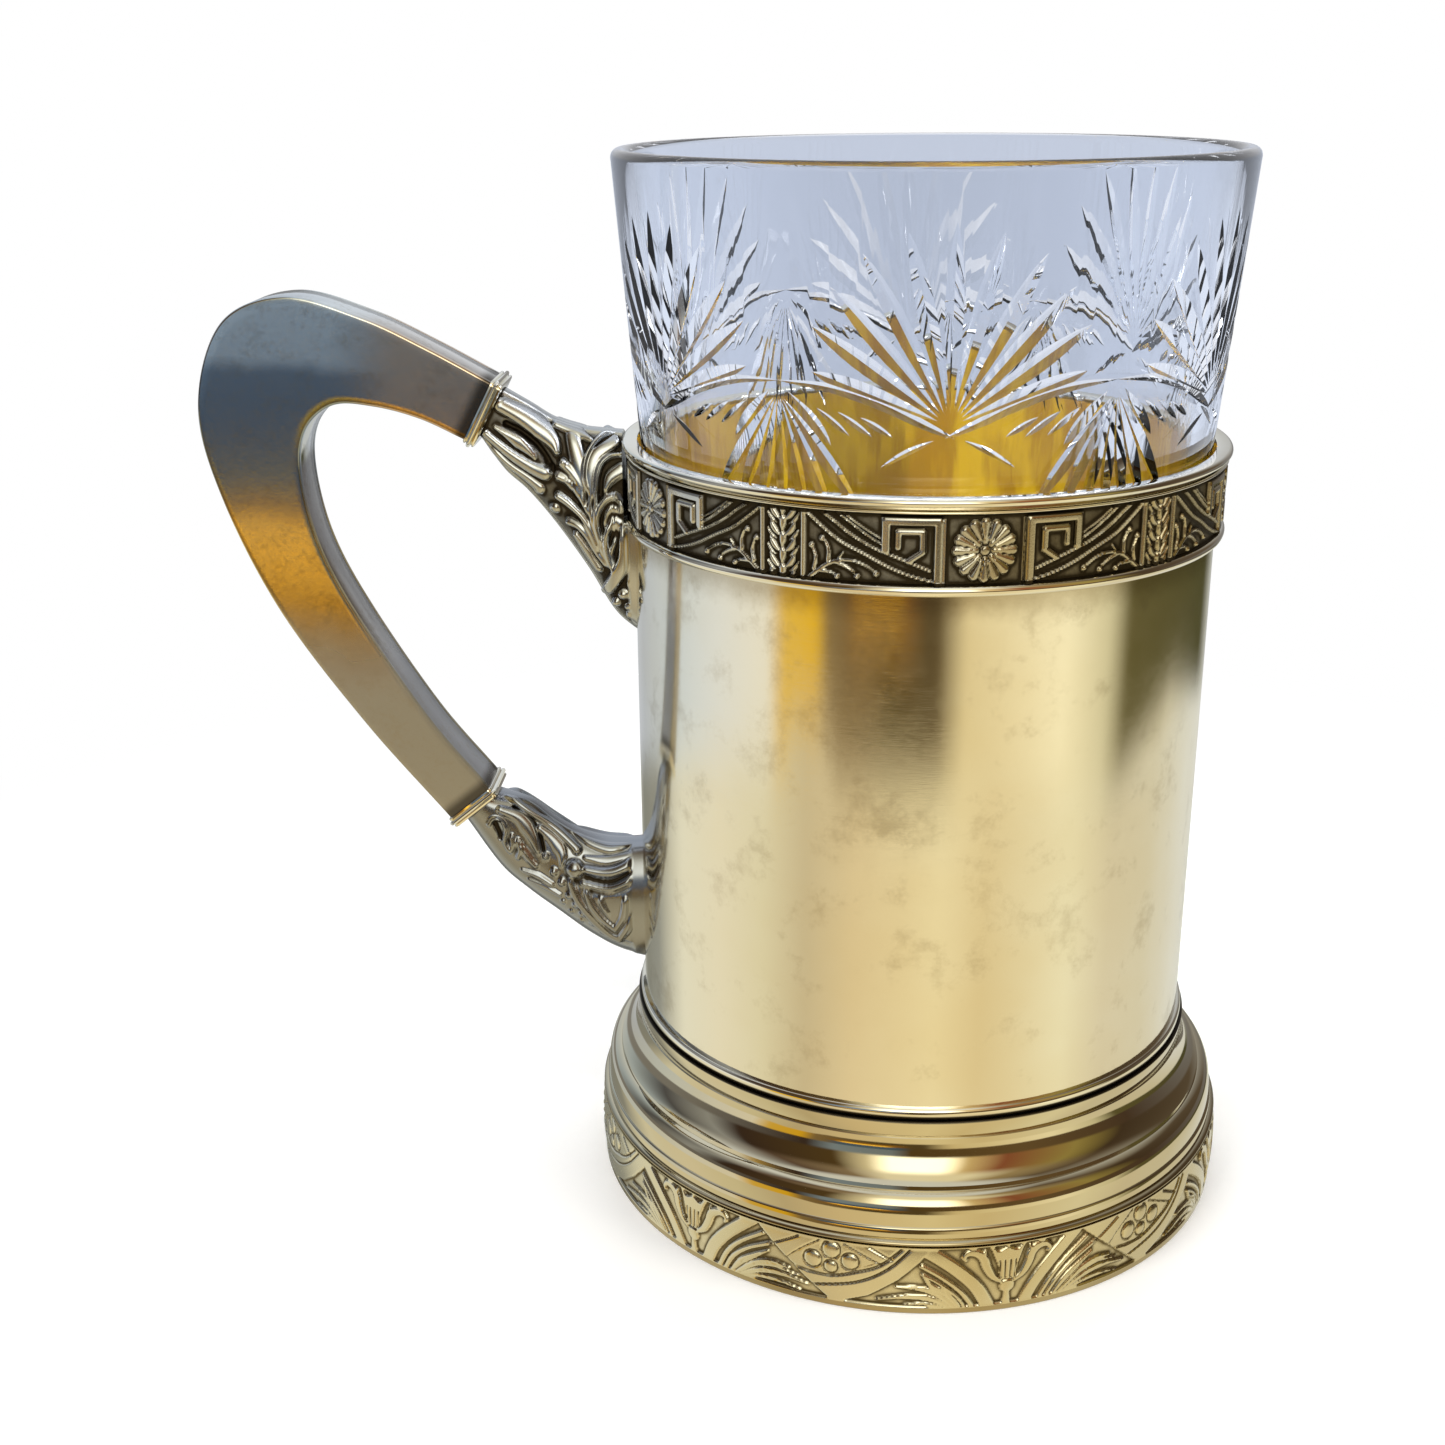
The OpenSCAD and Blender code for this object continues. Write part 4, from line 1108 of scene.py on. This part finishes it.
LOWER_STROKES = [
    ([(-53.3, 47.6), (-50.8, 46.4), (-49.4, 44.2), (-48.6, 41.9)], (0.6, 1.1, 0.4), 0.65, 0.8),
    ([(-48.2, 45.0), (-46.5, 43.5), (-45.5, 41.8), (-45.5, 40.2)], (0.6, 1.0, 0.35), 0.6, 0.8),
    ([(-52.6, 49.2), (-49.2, 46.8), (-46.4, 44.8), (-44.0, 42.7), (-43.5, 42.2)],
     (0.35, 0.45, 0.65), 0.9, 0.8),
    ([(-55.0, 45.4), (-54.3, 46.4), (-53.2, 46.1), (-52.7, 44.7), (-53.0, 43.4), (-52.5, 42.0)],
     (0.2, 0.26, 0.36), 0.8, 0.8),
    ([(-52.0, 44.0), (-51.9, 42.6), (-52.3, 41.7)], (0.3, 0.5, 0.35), 0.7, 0.8),
    ([(-51.2, 43.4), (-50.9, 42.0), (-51.3, 40.9)], (0.3, 0.52, 0.4), 0.72, 0.8),
    ([(-50.8, 42.6), (-50.0, 41.1), (-49.0, 39.8)], (0.35, 0.62, 0.4), 0.74, 0.8),
    ([(-50.9, 39.1), (-48.9, 38.4), (-46.9, 37.3)], (0.25, 0.55, 0.35), 0.66, 0.8),
    ([(-50.1, 37.7), (-48.0, 36.9), (-45.9, 35.8)], (0.25, 0.6, 0.35), 0.6, 0.8),
    ([(-44.2, 44.3), (-42.0, 42.9), (-39.4, 42.2), (-37.4, 42.6), (-35.0, 43.8)],
     (0.3, 0.6, 0.5), 0.85, 0.8),
    ([(-42.4, 41.2), (-39.8, 40.9), (-36.6, 41.6)], (0.3, 0.6, 0.4), 0.5, 0.4),
    ([(-42.3, 39.7), (-40.0, 39.4), (-38.0, 39.8), (-34.8, 41.5)], (0.6, 0.78, 0.75), 0.95, 0.95),
    ([(-42.8, 37.8), (-40.0, 37.3), (-38.0, 37.7), (-35.0, 39.4)], (0.45, 0.62, 0.6), 0.85, 0.95),
    ([(-44.4, 38.0), (-43.6, 35.6), (-41.8, 33.0), (-39.8, 30.8), (-38.2, 29.8)],
     (0.5, 0.6, 0.55), 0.85, 0.2),
    ([(-42.3, 36.8), (-41.8, 35.0), (-40.4, 33.0), (-38.6, 31.4)], (0.4, 0.5, 0.4), 0.82, 0.2),
    ([(-38.6, 31.4), (-37.5, 33.4), (-37.2, 35.8)], (0.4, 0.5, 0.4), 0.82, 0.2),
    ([(-40.5, 35.7), (-40.0, 34.4), (-39.3, 33.5)], (0.3, 0.3, 0.1), 0.85, 0.5),
    ([(-38.2, 29.8), (-37.1, 31.6), (-35.9, 33.8), (-35.4, 37.4)], (0.45, 0.55, 0.5), 0.85, 0.2),
]
LOWER_GROOVES = [
    ([(-51.6, 47.9), (-49.3, 46.1), (-48.2, 43.8), (-47.9, 42.0)], 0.2, 0.5),
    ([(-54.1, 45.7), (-53.7, 44.6), (-53.5, 43.7)], 0.34, 0.4),
    ([(-42.4, 38.6), (-40.0, 38.1), (-38.2, 38.5), (-36.0, 40.0)], 0.12, 0.35)]
LOWER_KNOBS = [
    ((-43.8, 39.7), 1.4, 1.25), ((-47.6, 41.3), 0.55, 0.8), ((-46.6, 39.1), 0.62, 0.8),
    ((-45.6, 37.7), 0.62, 0.8), ((-44.7, 35.9), 0.6, 0.7), ((-43.9, 34.5), 0.55, 0.7),
    ((-43.1, 33.2), 0.52, 0.7), ((-41.8, 31.8), 0.5, 0.65), ((-40.4, 30.5), 0.5, 0.6),
    ((-45.6, 34.8), 0.5, 0.6), ((-44.6, 33.4), 0.46, 0.6), ((-43.3, 32.1), 0.42, 0.55)]
LOWER_PANEL = [
    (-44.3, 37.6), (-43.6, 35.6), (-41.8, 33.0), (-39.8, 30.8), (-38.2, 29.8), (-35.4, 29.0),
    (-34.2, 31.0), (-34.2, 38.8), (-38.0, 36.8), (-41.0, 36.4)]


def raise_ornament(relief, strokes, grooves, knobs):
    """Lays a table of strokes, grooves and knobs on a bracket's flank."""
    for path, grooved, depth in grooves:
        relief.carve(smooth(path, 6), grooved, depth)
    for path, halves, height, crown in strokes:
        line = smooth(path, 6)
        t = np.linspace(0, 1, len(line))
        relief.stroke(line, np.interp(t, np.linspace(0, 1, len(halves)), halves), height, crown=crown)
    for place, radius, height in knobs:
        relief.pellet(place, radius, height)


def upper_ornament(relief):
    """Horn, folded leaf, acanthus fan and ribbon on the upper bracket."""
    raise_ornament(relief, UPPER_STROKES, UPPER_GROOVES, UPPER_KNOBS)


def lower_ornament(relief):
    """Curled leaf, ball with two rolls, beads and nested ridges on the lower bracket."""
    relief.h += LOWER_GROUND
    relief.plate(LOWER_PANEL, LOWER_PANEL_H)
    raise_ornament(relief, LOWER_STROKES, LOWER_GROOVES, LOWER_KNOBS)


def bracket_grid(top, bottom):
    """Rounded sections between two curves, and the outward normal at each of their points."""
    half_w = smooth([(NECK_W + s * (ROOT_W - NECK_W)) / 2 for s in WIDEN_SHARES], BRACKET_N)
    a = np.arange(BRACKET_M) * 2 * math.pi / BRACKET_M
    a = a - 0.12 * np.sin(2 * a)
    round_c, round_s = (np.sign(wave) * np.abs(wave) ** SECTION_POWER for wave in (np.cos(a), np.sin(a)))
    centre = (top + bottom)[:, None] / 2
    spot = centre + (top - bottom)[:, None] / 2 * round_c[None, :, None]
    grid = np.stack([spot[..., 0], half_w * round_s, spot[..., 1]], axis=-1)
    spine = np.stack([centre[..., 0], 0 * centre[..., 0], centre[..., 1]], axis=-1)
    around = (np.roll(grid, -1, 1) - np.roll(grid, 1, 1)) / 2
    normal = np.cross(around, np.gradient(grid, axis=0))
    normal /= np.maximum(np.linalg.norm(normal, axis=2, keepdims=True), 1e-9)
    outward = np.sum(normal * (grid - spine), axis=2)
    return grid, normal * np.where(np.median(outward) < 0, -1, 1)


def make_bracket(node, corners, top_shares, bottom_shares, ornament, plain_w, material):
    """A cast bracket: ornament on its flanks, plain for a little way off the sleeve, and fitted to it."""
    top = smooth([corners[0]] + placed(top_shares), BRACKET_N)
    bottom = smooth([corners[1]] + placed(bottom_shares), BRACKET_N)
    grid, normal = bracket_grid(top, bottom)
    relief = Relief(grid[..., 0].ravel(), grid[..., 2].ravel())
    ornament(relief)
    root = ease(grid[..., 0], -SLEEVE_R - plain_w, -SLEEVE_R - plain_w + 0.7)
    field = relief.h.reshape(grid.shape[:2]) * (1 - root) + ORNAMENT_GROUND * root
    flank = ease(np.abs(normal[..., 1]), 0.15, 0.5)
    field = soften(field.T, 1).T * flank
    raised = grid + normal * (field - ORNAMENT_GROUND * flank)[..., None]
    hollow = np.clip(hollows(field.T, 0.26, 7).T * 1.1 + 0.6 * flank * (1 - ease(field, 0.05, 0.3)), 0, 1)
    # Painted shade: the first sections, where the neck meets the collar, darkened through the same attribute
    # as the tarnish
    neck = 1 - ease(np.arange(len(raised)), 1, 3)
    hollow = np.maximum(hollow, 0.9 * neck[:, None])
    wall = np.where(raised[..., 2] > LOWER_WIRE_Z, outer_r("rim_lip"), SLEEVE_R - 0.2)
    push = np.maximum(wall / np.hypot(raised[..., 0], raised[..., 1]), 1)
    raised[..., :2] *= push[..., None]
    piece = tube(node + "_casting", raised, 60.0)
    mark_hollows(piece, hollow.ravel())
    dress(piece, material, node)


def make_brackets(upper_material, lower_material):
    """The two brackets, from their collars to the frieze and the sleeve."""
    outer, inner = placed(GRIP_OUTER_SHARES), placed(GRIP_INNER_SHARES)
    upper = neck_corners(outer[0], inner[0], 1, UPPER_NECK_DEPTH)
    lower = neck_corners(outer[-1], inner[-1], -1, LOWER_NECK_DEPTH)
    make_bracket("upper_bracket", upper, UPPER_TOP_SHARES, UPPER_BOTTOM_SHARES, upper_ornament,
                 UPPER_PLAIN_W, upper_material)
    make_bracket("lower_bracket", lower[::-1], LOWER_TOP_SHARES, LOWER_BOTTOM_SHARES, lower_ornament,
                 LOWER_PLAIN_W, lower_material)


# Glass

GLASS_Z = low_z("tea_glass")
GLASS_TOP_Z = top_z("tea_glass")
GLASS_MOUTH_R = outer_r("tea_glass")
GLASS_LIP_R = SLEEVE_IN_R - 0.3
GLASS_BASE_R = GLASS_LIP_R - 5.0
GLASS_RIM_WALL = 2.0
GLASS_LOW_WALL = 3.2
GLASS_BASE_T = 8.0
GLASS_EDGE = 3.0
PUNT_H = 0.8


def glass_outline():
    """The tumbler in section, from the ring it stands on, up and over the mouth, to the hollow's floor."""
    punt_r = GLASS_BASE_R - 2 * GLASS_EDGE
    mouth = (GLASS_MOUTH_R - GLASS_RIM_WALL / 2, GLASS_TOP_Z - GLASS_RIM_WALL / 2)
    hollow_z = GLASS_Z + GLASS_BASE_T
    hollow_r = GLASS_BASE_R - GLASS_LOW_WALL
    lip_wall = (GLASS_RIM_WALL + GLASS_LOW_WALL) / 2
    foot = arc((GLASS_BASE_R - GLASS_EDGE, GLASS_Z + GLASS_EDGE), (GLASS_EDGE, GLASS_EDGE), -90, 0, 12)
    mouth_round = arc(mouth, (GLASS_RIM_WALL / 2, GLASS_RIM_WALL / 2), 0, 180, 14)
    floor_round = arc((hollow_r - GLASS_EDGE, hollow_z + GLASS_EDGE), (GLASS_EDGE, GLASS_EDGE), 0, -90, 12)
    return np.vstack([[[punt_r, GLASS_Z]], foot, [[GLASS_LIP_R, RIM_Z]], mouth_round,
                      [[GLASS_LIP_R - lip_wall, RIM_Z]], floor_round,
                      [[0, hollow_z], [0, GLASS_Z + PUNT_H], [punt_r - PUNT_H, GLASS_Z + PUNT_H]]])


# Cuts: mitred grooves ground into the outside of the glass, the same set in each of six repeats.
# Places are degrees from a fan's foot and heights in mm.

CUT_REPEATS = 6
CUT_FRONT_A = 1.5
PEAK_A = CUT_FRONT_A + 180 / CUT_REPEATS
CUT_OVER = 0.5
CUT_END = 0.06
FAN_Z = RIM_Z + 7.4
PEAK_Z = RIM_Z + 11.2
# Straight cuts that spread from a fan's foot and hang from an arch's peak: each one's lean and length, and
# the depth, half width and skew of all their grooves
FAN_CUTS = [(0, 20.5), (13, 20.2), (27, 19.6), (41, 18.6), (55, 17.4), (70, 15.2)]
FAN_WHEEL = (0.62, 0.98, 1.25)
TENT_CUTS = [(0, 13.5), (12, 13.8), (24, 14.5), (36, 15.5)]
TENT_WHEEL = (0.5, 0.85, 1.1)
# Curved cuts on both sides: the place that each starts from, its path off that place with the steps
# between two points, and the groove's depth, half width and skew
CURVED_CUTS = [
    (PEAK_A, PEAK_Z, [(1.0, 0.2), (-9, -0.25), (-18, -1.7), (-26, -3.9), (-31.2, -5.3)], 4, 0.55, 0.62, 1.0),
    (CUT_FRONT_A, FAN_Z, [(2.2, -1.5), (7, -2.9), (12, -4.7)], 5, 0.3, 0.34, 1.0),
    (PEAK_A, PEAK_Z, [(1.2, -0.5), (5.0, -3.0), (9.8, -6.4)], 5, 0.55, 0.7, 1.6),
    (PEAK_A, PEAK_Z, [(6.8, -2.3), (13.2, -5.3)], 8, 0.36, 0.36, 1.0),
    (PEAK_A, PEAK_Z, [(10.6, -2.6), (17.2, -5.3)], 8, 0.36, 0.36, 1.0),
    (PEAK_A, PEAK_Z, [(14.6, -3.1), (20.6, -5.2)], 8, 0.36, 0.36, 1.0),
]


def glass_r(z):
    """The glass's outer radius at a height."""
    return np.interp(z, [GLASS_Z + GLASS_EDGE, RIM_Z, GLASS_TOP_Z - GLASS_RIM_WALL / 2],
                     [GLASS_BASE_R, GLASS_LIP_R, GLASS_MOUTH_R])


def ray(azimuth, z, angle, start, length):
    """A straight line over the glass: angle from upright, and distances along it in mm."""
    s = np.linspace(start, length, 12)
    turn = math.radians(angle)
    return np.column_stack([azimuth + np.degrees(s * math.sin(turn) / GLASS_LIP_R), z + s * math.cos(turn)])


def groove(line, depth, half, skew):
    """The wedge that a mitre wheel takes out along a line, pointed at both ends."""
    t = np.linspace(0, 1, len(line))
    level = CUT_END - (depth + CUT_END) * np.sin(np.pi * t ** skew) ** 0.75
    a, z = np.radians(line[:, 0]), line[:, 1]
    spot = turned(glass_r(z), a, z)
    out = turned(1, a, 0)
    side = np.cross(np.gradient(spot, axis=0), out)
    side /= np.linalg.norm(side, axis=1)[:, None]
    spread = (half / depth * (CUT_OVER - level))[:, None] * side
    top = spot + CUT_OVER * out
    return np.stack([spot + level[:, None] * out, top + spread, top - spread], axis=1)


def repeated_cutter(rings):
    """One mesh that holds a groove's wedge, turned round to every repeat."""
    count = len(rings)
    skin = grid_faces(count, 3, False, True) + [[0, 1, 2], [3 * count - 3, 3 * count - 2, 3 * count - 1]]
    points, faces = [], []
    for k in range(CUT_REPEATS):
        a = math.radians(k * 360 / CUT_REPEATS)
        turn = np.array([[math.cos(a), -math.sin(a), 0], [math.sin(a), math.cos(a), 0], [0, 0, 1]])
        start = len(points)
        points.extend(rings.reshape(-1, 3) @ turn.T)
        faces.extend([[start + i for i in face] for face in skin])
    return mesh_piece("cutter", points, faces)


def cut_set():
    """Every groove of one repeat."""
    cuts = []
    for angle, length in FAN_CUTS:
        for side in ((1, -1) if angle else (1,)):
            cuts.append(groove(ray(CUT_FRONT_A, FAN_Z, side * angle, 0.9, length), *FAN_WHEEL))
    for angle, length in TENT_CUTS:
        for side in ((1, -1) if angle else (1,)):
            cuts.append(groove(ray(PEAK_A, PEAK_Z - 0.9, 180 - side * angle, 0.5, length), *TENT_WHEEL))
    for side in (1, -1):
        for azimuth, z, path, n, *wheel in CURVED_CUTS:
            line = smooth([(azimuth + side * off, z + up) for off, up in path], n)
            cuts.append(groove(line, *wheel))
    return cuts


def make_glass(material):
    """The tumbler, with every groove taken out of it one after another."""
    piece = lathe("tumbler", glass_outline(), 192, 30.0)
    cutters = [repeated_cutter(rings) for rings in cut_set()]
    for cutter in cutters:
        ground = piece.modifiers.new("ground", "BOOLEAN")
        ground.operation, ground.solver, ground.object = "DIFFERENCE", "MANIFOLD", cutter
    cut = bpy.data.meshes.new_from_object(piece.evaluated_get(bpy.context.evaluated_depsgraph_get()))
    piece.modifiers.clear()
    piece.data = cut
    for cutter in cutters:
        bpy.data.objects.remove(cutter)
    cut.shade_smooth()
    cut.set_sharp_from_angle(angle=math.radians(18))
    dress(piece, material, "tea_glass", "glass")


# The studio: floor, lamps, world and camera

# The floor's radius, and the distances from the axis between which it turns white to the camera
FLOOR_R = 6000.0
FLOOR_SHADE_R = 70.0
FLOOR_WHITE_R = 220.0
FLOOR_LIFT = 0.18
WORLD_DIM = 0.45
TABLE_Z = -0.4
TABLE_SWAY = 0.1
# The surroundings, as rows of stops that run once round: a share of the turn, from +Y over -X, -Y and +X
# back to +Y, and the colour that metal sees there
TABLE = [
    (0.0, (0.7, 0.7, 0.64)), (0.06, (0.24, 0.24, 0.2)), (0.12, (0.3, 0.3, 0.26)),
    (0.186, (0.82, 0.78, 0.61)), (0.257, (0.84, 0.76, 0.55)), (0.318, (0.78, 0.7, 0.46)),
    (0.373, (0.64, 0.53, 0.32)), (0.43, (0.8, 0.64, 0.36)), (0.524, (0.93, 0.79, 0.46)),
    (0.575, (0.82, 0.67, 0.37)), (0.679, (0.92, 0.84, 0.56)), (0.736, (0.77, 0.69, 0.49)),
    (0.802, (0.74, 0.68, 0.5)), (0.886, (0.78, 0.77, 0.68)), (1.0, (0.7, 0.7, 0.64))]
ROOM = [
    (0.0, (0.58, 0.6, 0.62)), (0.081, (0.5, 0.53, 0.57)), (0.186, (0.66, 0.71, 0.73)),
    (0.257, (0.79, 0.79, 0.74)), (0.325, (0.88, 0.82, 0.66)), (0.345, (0.8, 0.5, 0.07)),
    (0.382, (0.82, 0.47, 0.02)), (0.397, (0.26, 0.17, 0.065)), (0.44, (0.15, 0.105, 0.045)),
    (0.465, (0.085, 0.062, 0.02)), (0.515, (0.11, 0.072, 0.027)), (0.545, (0.82, 0.67, 0.36)),
    (0.6, (0.95, 0.82, 0.5)), (0.655, (1.08, 0.98, 0.66)), (0.71, (0.74, 0.68, 0.44)),
    (0.74, (0.13, 0.11, 0.04)), (0.9, (0.08, 0.075, 0.03)), (0.94, (0.5, 0.5, 0.45)),
    (1.0, (0.58, 0.6, 0.62))]
SILL = [
    (0.0, (0.3, 0.3, 0.3)), (0.25, (0.22, 0.21, 0.2)), (0.39, (0.05, 0.03, 0.02)),
    (0.42, (0.24, 0.3, 0.36)), (0.48, (0.22, 0.26, 0.3)), (0.5, (0.11, 0.065, 0.02)),
    (0.62, (0.16, 0.1, 0.04)), (0.75, (0.08, 0.05, 0.03)), (1.0, (0.3, 0.3, 0.3))]
WALL = [
    (0.0, (0.72, 0.75, 0.78)), (0.06, (0.68, 0.73, 0.79)), (0.12, (0.45, 0.53, 0.62)),
    (0.2, (0.1, 0.1, 0.11)), (0.27, (0.34, 0.35, 0.36)), (0.31, (0.05, 0.03, 0.02)),
    (0.42, (0.1, 0.06, 0.02)), (0.455, (0.86, 0.76, 0.5)), (0.48, (2.5, 2.4, 1.95)),
    (0.535, (2.5, 2.4, 1.95)), (0.56, (0.8, 0.6, 0.28)), (0.6, (0.3, 0.1, 0.045)),
    (0.68, (0.36, 0.28, 0.08)), (0.74, (0.07, 0.045, 0.025)), (0.87, (0.12, 0.09, 0.06)),
    (0.95, (0.45, 0.45, 0.45)), (1.0, (0.72, 0.75, 0.78))]
CEILING = [
    (0.0, (0.82, 0.86, 0.9)), (0.16, (0.8, 0.84, 0.88)), (0.25, (0.42, 0.42, 0.42)),
    (0.33, (0.14, 0.09, 0.06)), (0.42, (0.3, 0.22, 0.13)), (0.47, (1.0, 0.92, 0.68)),
    (0.58, (1.0, 0.92, 0.66)), (0.64, (0.4, 0.3, 0.15)), (0.75, (0.14, 0.1, 0.06)),
    (0.87, (0.4, 0.38, 0.34)), (1.0, (0.82, 0.86, 0.9))]
# How high the table's edge stands round the turn, as greys
TABLE_EDGE = [
    (0.0, 0.5), (0.34, 0.5), (0.36, 0.75), (0.39, 0.75), (0.41, 0.42), (0.72, 0.42), (0.76, 0.62),
    (0.82, 0.95), (1.0, 0.95)]
# What the glass shows behind itself, over half the turn; the other half mirrors it
BEHIND = [
    (0.0, (0.6, 0.65, 0.76)), (0.06, (0.6, 0.65, 0.76)), (0.14, (0.8, 0.86, 0.98)), (0.27, (0.8, 0.86, 0.98)),
    (0.38, (0.36, 0.37, 0.4)), (0.5, (0.2, 0.2, 0.19))]
BEHIND_FAR = (0.95, 0.96, 1.0)
TONED = (0.075, 0.125, 0.19)
DUSK = (0.30, 0.135, 0.02)
GLOW = (1.5, 0.85, 0.07)
ZENITH = (0.8, 0.82, 0.82)


def make_floor():
    """A pale floor, white to the camera away from the part and out of sight of metal and glass."""
    bpy.ops.mesh.primitive_circle_add(vertices=96, radius=FLOOR_R * MM, fill_type="NGON", location=(0, 0, 0))
    floor = bpy.context.object
    floor.name = "floor"
    material, s = new_material("pale_floor")
    x, y, z = s.axes(s.place())
    far = s.step(s.distance(x, y), FLOOR_SHADE_R, FLOOR_WHITE_R)
    seen = s.light_path("Is Camera Ray")
    paper = s.node("ShaderNodeBsdfDiffuse", None, {"Color": (0.88, 0.88, 0.88, 1)})
    white = s.node("ShaderNodeEmission", None, {"Color": (1, 1, 1, 1), "Strength": 1.0})
    lit = s.node("ShaderNodeEmission", None, {"Color": (1, 1, 1, 1), "Strength": seen * FLOOR_LIFT})
    near = s.node("ShaderNodeAddShader", None, {0: paper, 1: lit})
    s.surface(s.node("ShaderNodeMixShader", None, {0: seen * far, 1: near, 2: white}))
    floor.data.materials.append(material)
    floor.visible_glossy = False
    floor.visible_transmission = False


def surroundings(s, turn, z):
    """The colours that metal sees, from the table under it up to the ceiling."""
    edge = s.ramp(turn, [(place, (grey,) * 3) for place, grey in TABLE_EDGE])
    level = z - TABLE_Z - TABLE_SWAY * (edge - 0.2)
    sill = s.ramp(turn, SILL)
    scene = s.mix(s.step(level, 0.0, 0.03), s.ramp(turn, TABLE), s.ramp(turn, ROOM))
    zone_share = s.plateau(turn, 0.455, 0.05) * s.step(z, -0.238, -0.226)
    dusk = s.plateau(turn, 0.455, 0.05) * s.step(z, -0.315, -0.275) * s.step(z, -0.222, -0.236)
    glow = s.plateau(turn, 0.452, 0.034) * s.step(z, -0.266, -0.244) * s.step(z, -0.218, -0.232)
    near_sill = s.step(z, -0.235, -0.205) * s.step(turn, 0.49, 0.52)
    layers = [(zone_share, TONED), (dusk, DUSK), (glow, GLOW), (near_sill, sill),
              (s.step(z, -0.165, -0.125), sill), (s.step(z, 0.02, 0.12), s.ramp(turn, WALL)),
              (s.step(z, 0.55, 0.8), s.ramp(turn, CEILING)), (s.step(z, 0.9, 0.98), ZENITH)]
    for share, colour in layers:
        scene = s.mix(share, scene, colour)
    return scene


def make_world():
    """White to the camera; metal sees a pale table, a darker room over it and a bright ceiling."""
    world = bpy.data.worlds.new("studio")
    world.cycles.sampling_method = "NONE"
    bpy.context.scene.world = world
    s = Shade(world)
    x, y, z = s.axes(s.node("ShaderNodeTexCoord", None, None, "Generated"))
    turn = s.math("ARCTAN2", x, 0 - y) / (2 * math.pi) + 0.5
    colour = s.mix(s.light_path("Is Glossy Ray"), (1, 1, 1), surroundings(s, turn, z))
    behind = s.ramp(turn, BEHIND + [(1 - place, shown) for place, shown in BEHIND[-2::-1]])
    behind = s.mix(s.plateau(z, -0.30, 0.50), BEHIND_FAR, behind)
    colour = s.mix(s.light_path("Is Singular Ray"), colour, behind)
    strength = 1 - WORLD_DIM * s.light_path("Is Diffuse Ray")
    s.surface(s.node("ShaderNodeBackground", None, {"Color": colour, "Strength": strength}),
              "ShaderNodeOutputWorld")


# Each lamp's place, the point that it faces and its size, in metres, its power, colour and spread
LAMPS = {
    "key": ((-0.5, -0.55, 0.75), (0, 0, 0.06), (0.5, 0.5), 5.0, (1, 0.98, 0.94), 180),
    "fill": ((0.65, -0.3, 0.6), (0, 0, 0.06), (0.4, 0.6), 3.0, (1, 0.96, 0.88), 180),
    "back": ((0.1, 0.7, 0.6), (0, 0, 0.08), (0.8, 0.3), 3.0, (0.93, 0.96, 1), 180),
    "well": ((0, -0.16, 0.42), (0, 0.02, 0.085), (0.06, 0.06), 0.03, (1, 0.97, 0.9), 14),
}


def make_lamps():
    """The area lamps, which reflections leave out."""
    for name, (place, target, size, power, colour, spread) in LAMPS.items():
        lamp = bpy.data.lights.new(name, "AREA")
        lamp.spread = math.radians(spread)
        lamp.shape, lamp.size, lamp.size_y = "RECTANGLE", size[0], size[1]
        lamp.energy, lamp.color = power, colour
        holder = bpy.data.objects.new(name, lamp)
        holder.location = place
        holder.rotation_euler = (Vector(target) - Vector(place)).to_track_quat("-Z", "Y").to_euler()
        holder.visible_glossy = False
        bpy.context.scene.collection.objects.link(holder)


# The camera's place in metres, and its angles in degrees
CAMERA_PLACE = (-0.01174, -0.2240, 0.139206)
CAMERA_YAW = 3.2645
CAMERA_PITCH = 19.6754
CAMERA_ROLL = -0.4803
CAMERA_LENS = 46.28
SENSOR_W = 36.0


def make_camera():
    """The photograph's own camera."""
    yaw, pitch, roll = (math.radians(a) for a in (CAMERA_YAW, CAMERA_PITCH, CAMERA_ROLL))
    forward = Vector((-math.sin(yaw) * math.cos(pitch), math.cos(yaw) * math.cos(pitch), -math.sin(pitch)))
    level = Vector((math.cos(yaw), math.sin(yaw), 0))
    up = level.cross(forward)
    right = math.cos(roll) * level + math.sin(roll) * up
    up = -math.sin(roll) * level + math.cos(roll) * up
    camera = bpy.data.cameras.new("camera")
    camera.lens, camera.sensor_width, camera.sensor_fit = CAMERA_LENS, SENSOR_W, "HORIZONTAL"
    camera.clip_start = 0.01
    stand = bpy.data.objects.new("camera", camera)
    turn = Matrix((right, up, -forward)).transposed()
    stand.matrix_world = Matrix.Translation(CAMERA_PLACE) @ turn.to_4x4()
    bpy.context.scene.collection.objects.link(stand)
    bpy.context.scene.camera = stand


def dress_node(node, material):
    """Gives a CAD node a material in its own slots."""
    mesh = frame["nodes"][node].data
    mesh.materials.clear()
    mesh.materials.append(material)


make_camera()
make_world()
make_lamps()
make_floor()
bright = bright_finish()
dress_node("sleeve", sleeve_finish())
dress_node("floor_disc", gilt_finish())
make_rings(bright)
make_frieze(relief_finish("frieze_oxidised_silver", FRIEZE_GROUND, FRIEZE_TOP, FRIEZE_LOW, 0.5))
make_foot_band(relief_finish("foot_relief_silver", BAND_GROUND, BAND_TOP, BAND_LOW, 0.15))
make_grip(grip_finish("grip_satin_silver", 1.0, GRIP_SILVER, GRIP_LOW, GRIP_GOLD_REFLECTION),
          grip_finish("strip_satin_silver", 0.3, STRIP_SILVER, STRIP_LOW, STRIP_SILVER))
make_collars(bright)
# The lower bracket takes a darker, cooler copy of the cast silver: painted shade
make_brackets(relief_finish("cast_oxidised_silver", BLACK_OXIDE_AND_SHADE, CAST_TOP, CAST_LOW, 0.15),
              relief_finish("cast_silver_painted_shade", BLACK_OXIDE_AND_SHADE, SHADED_CAST_TOP, SHADED_CAST_LOW, 0.15))
make_glass(crystal_finish())

bpy.context.scene.view_settings.view_transform = "Standard"
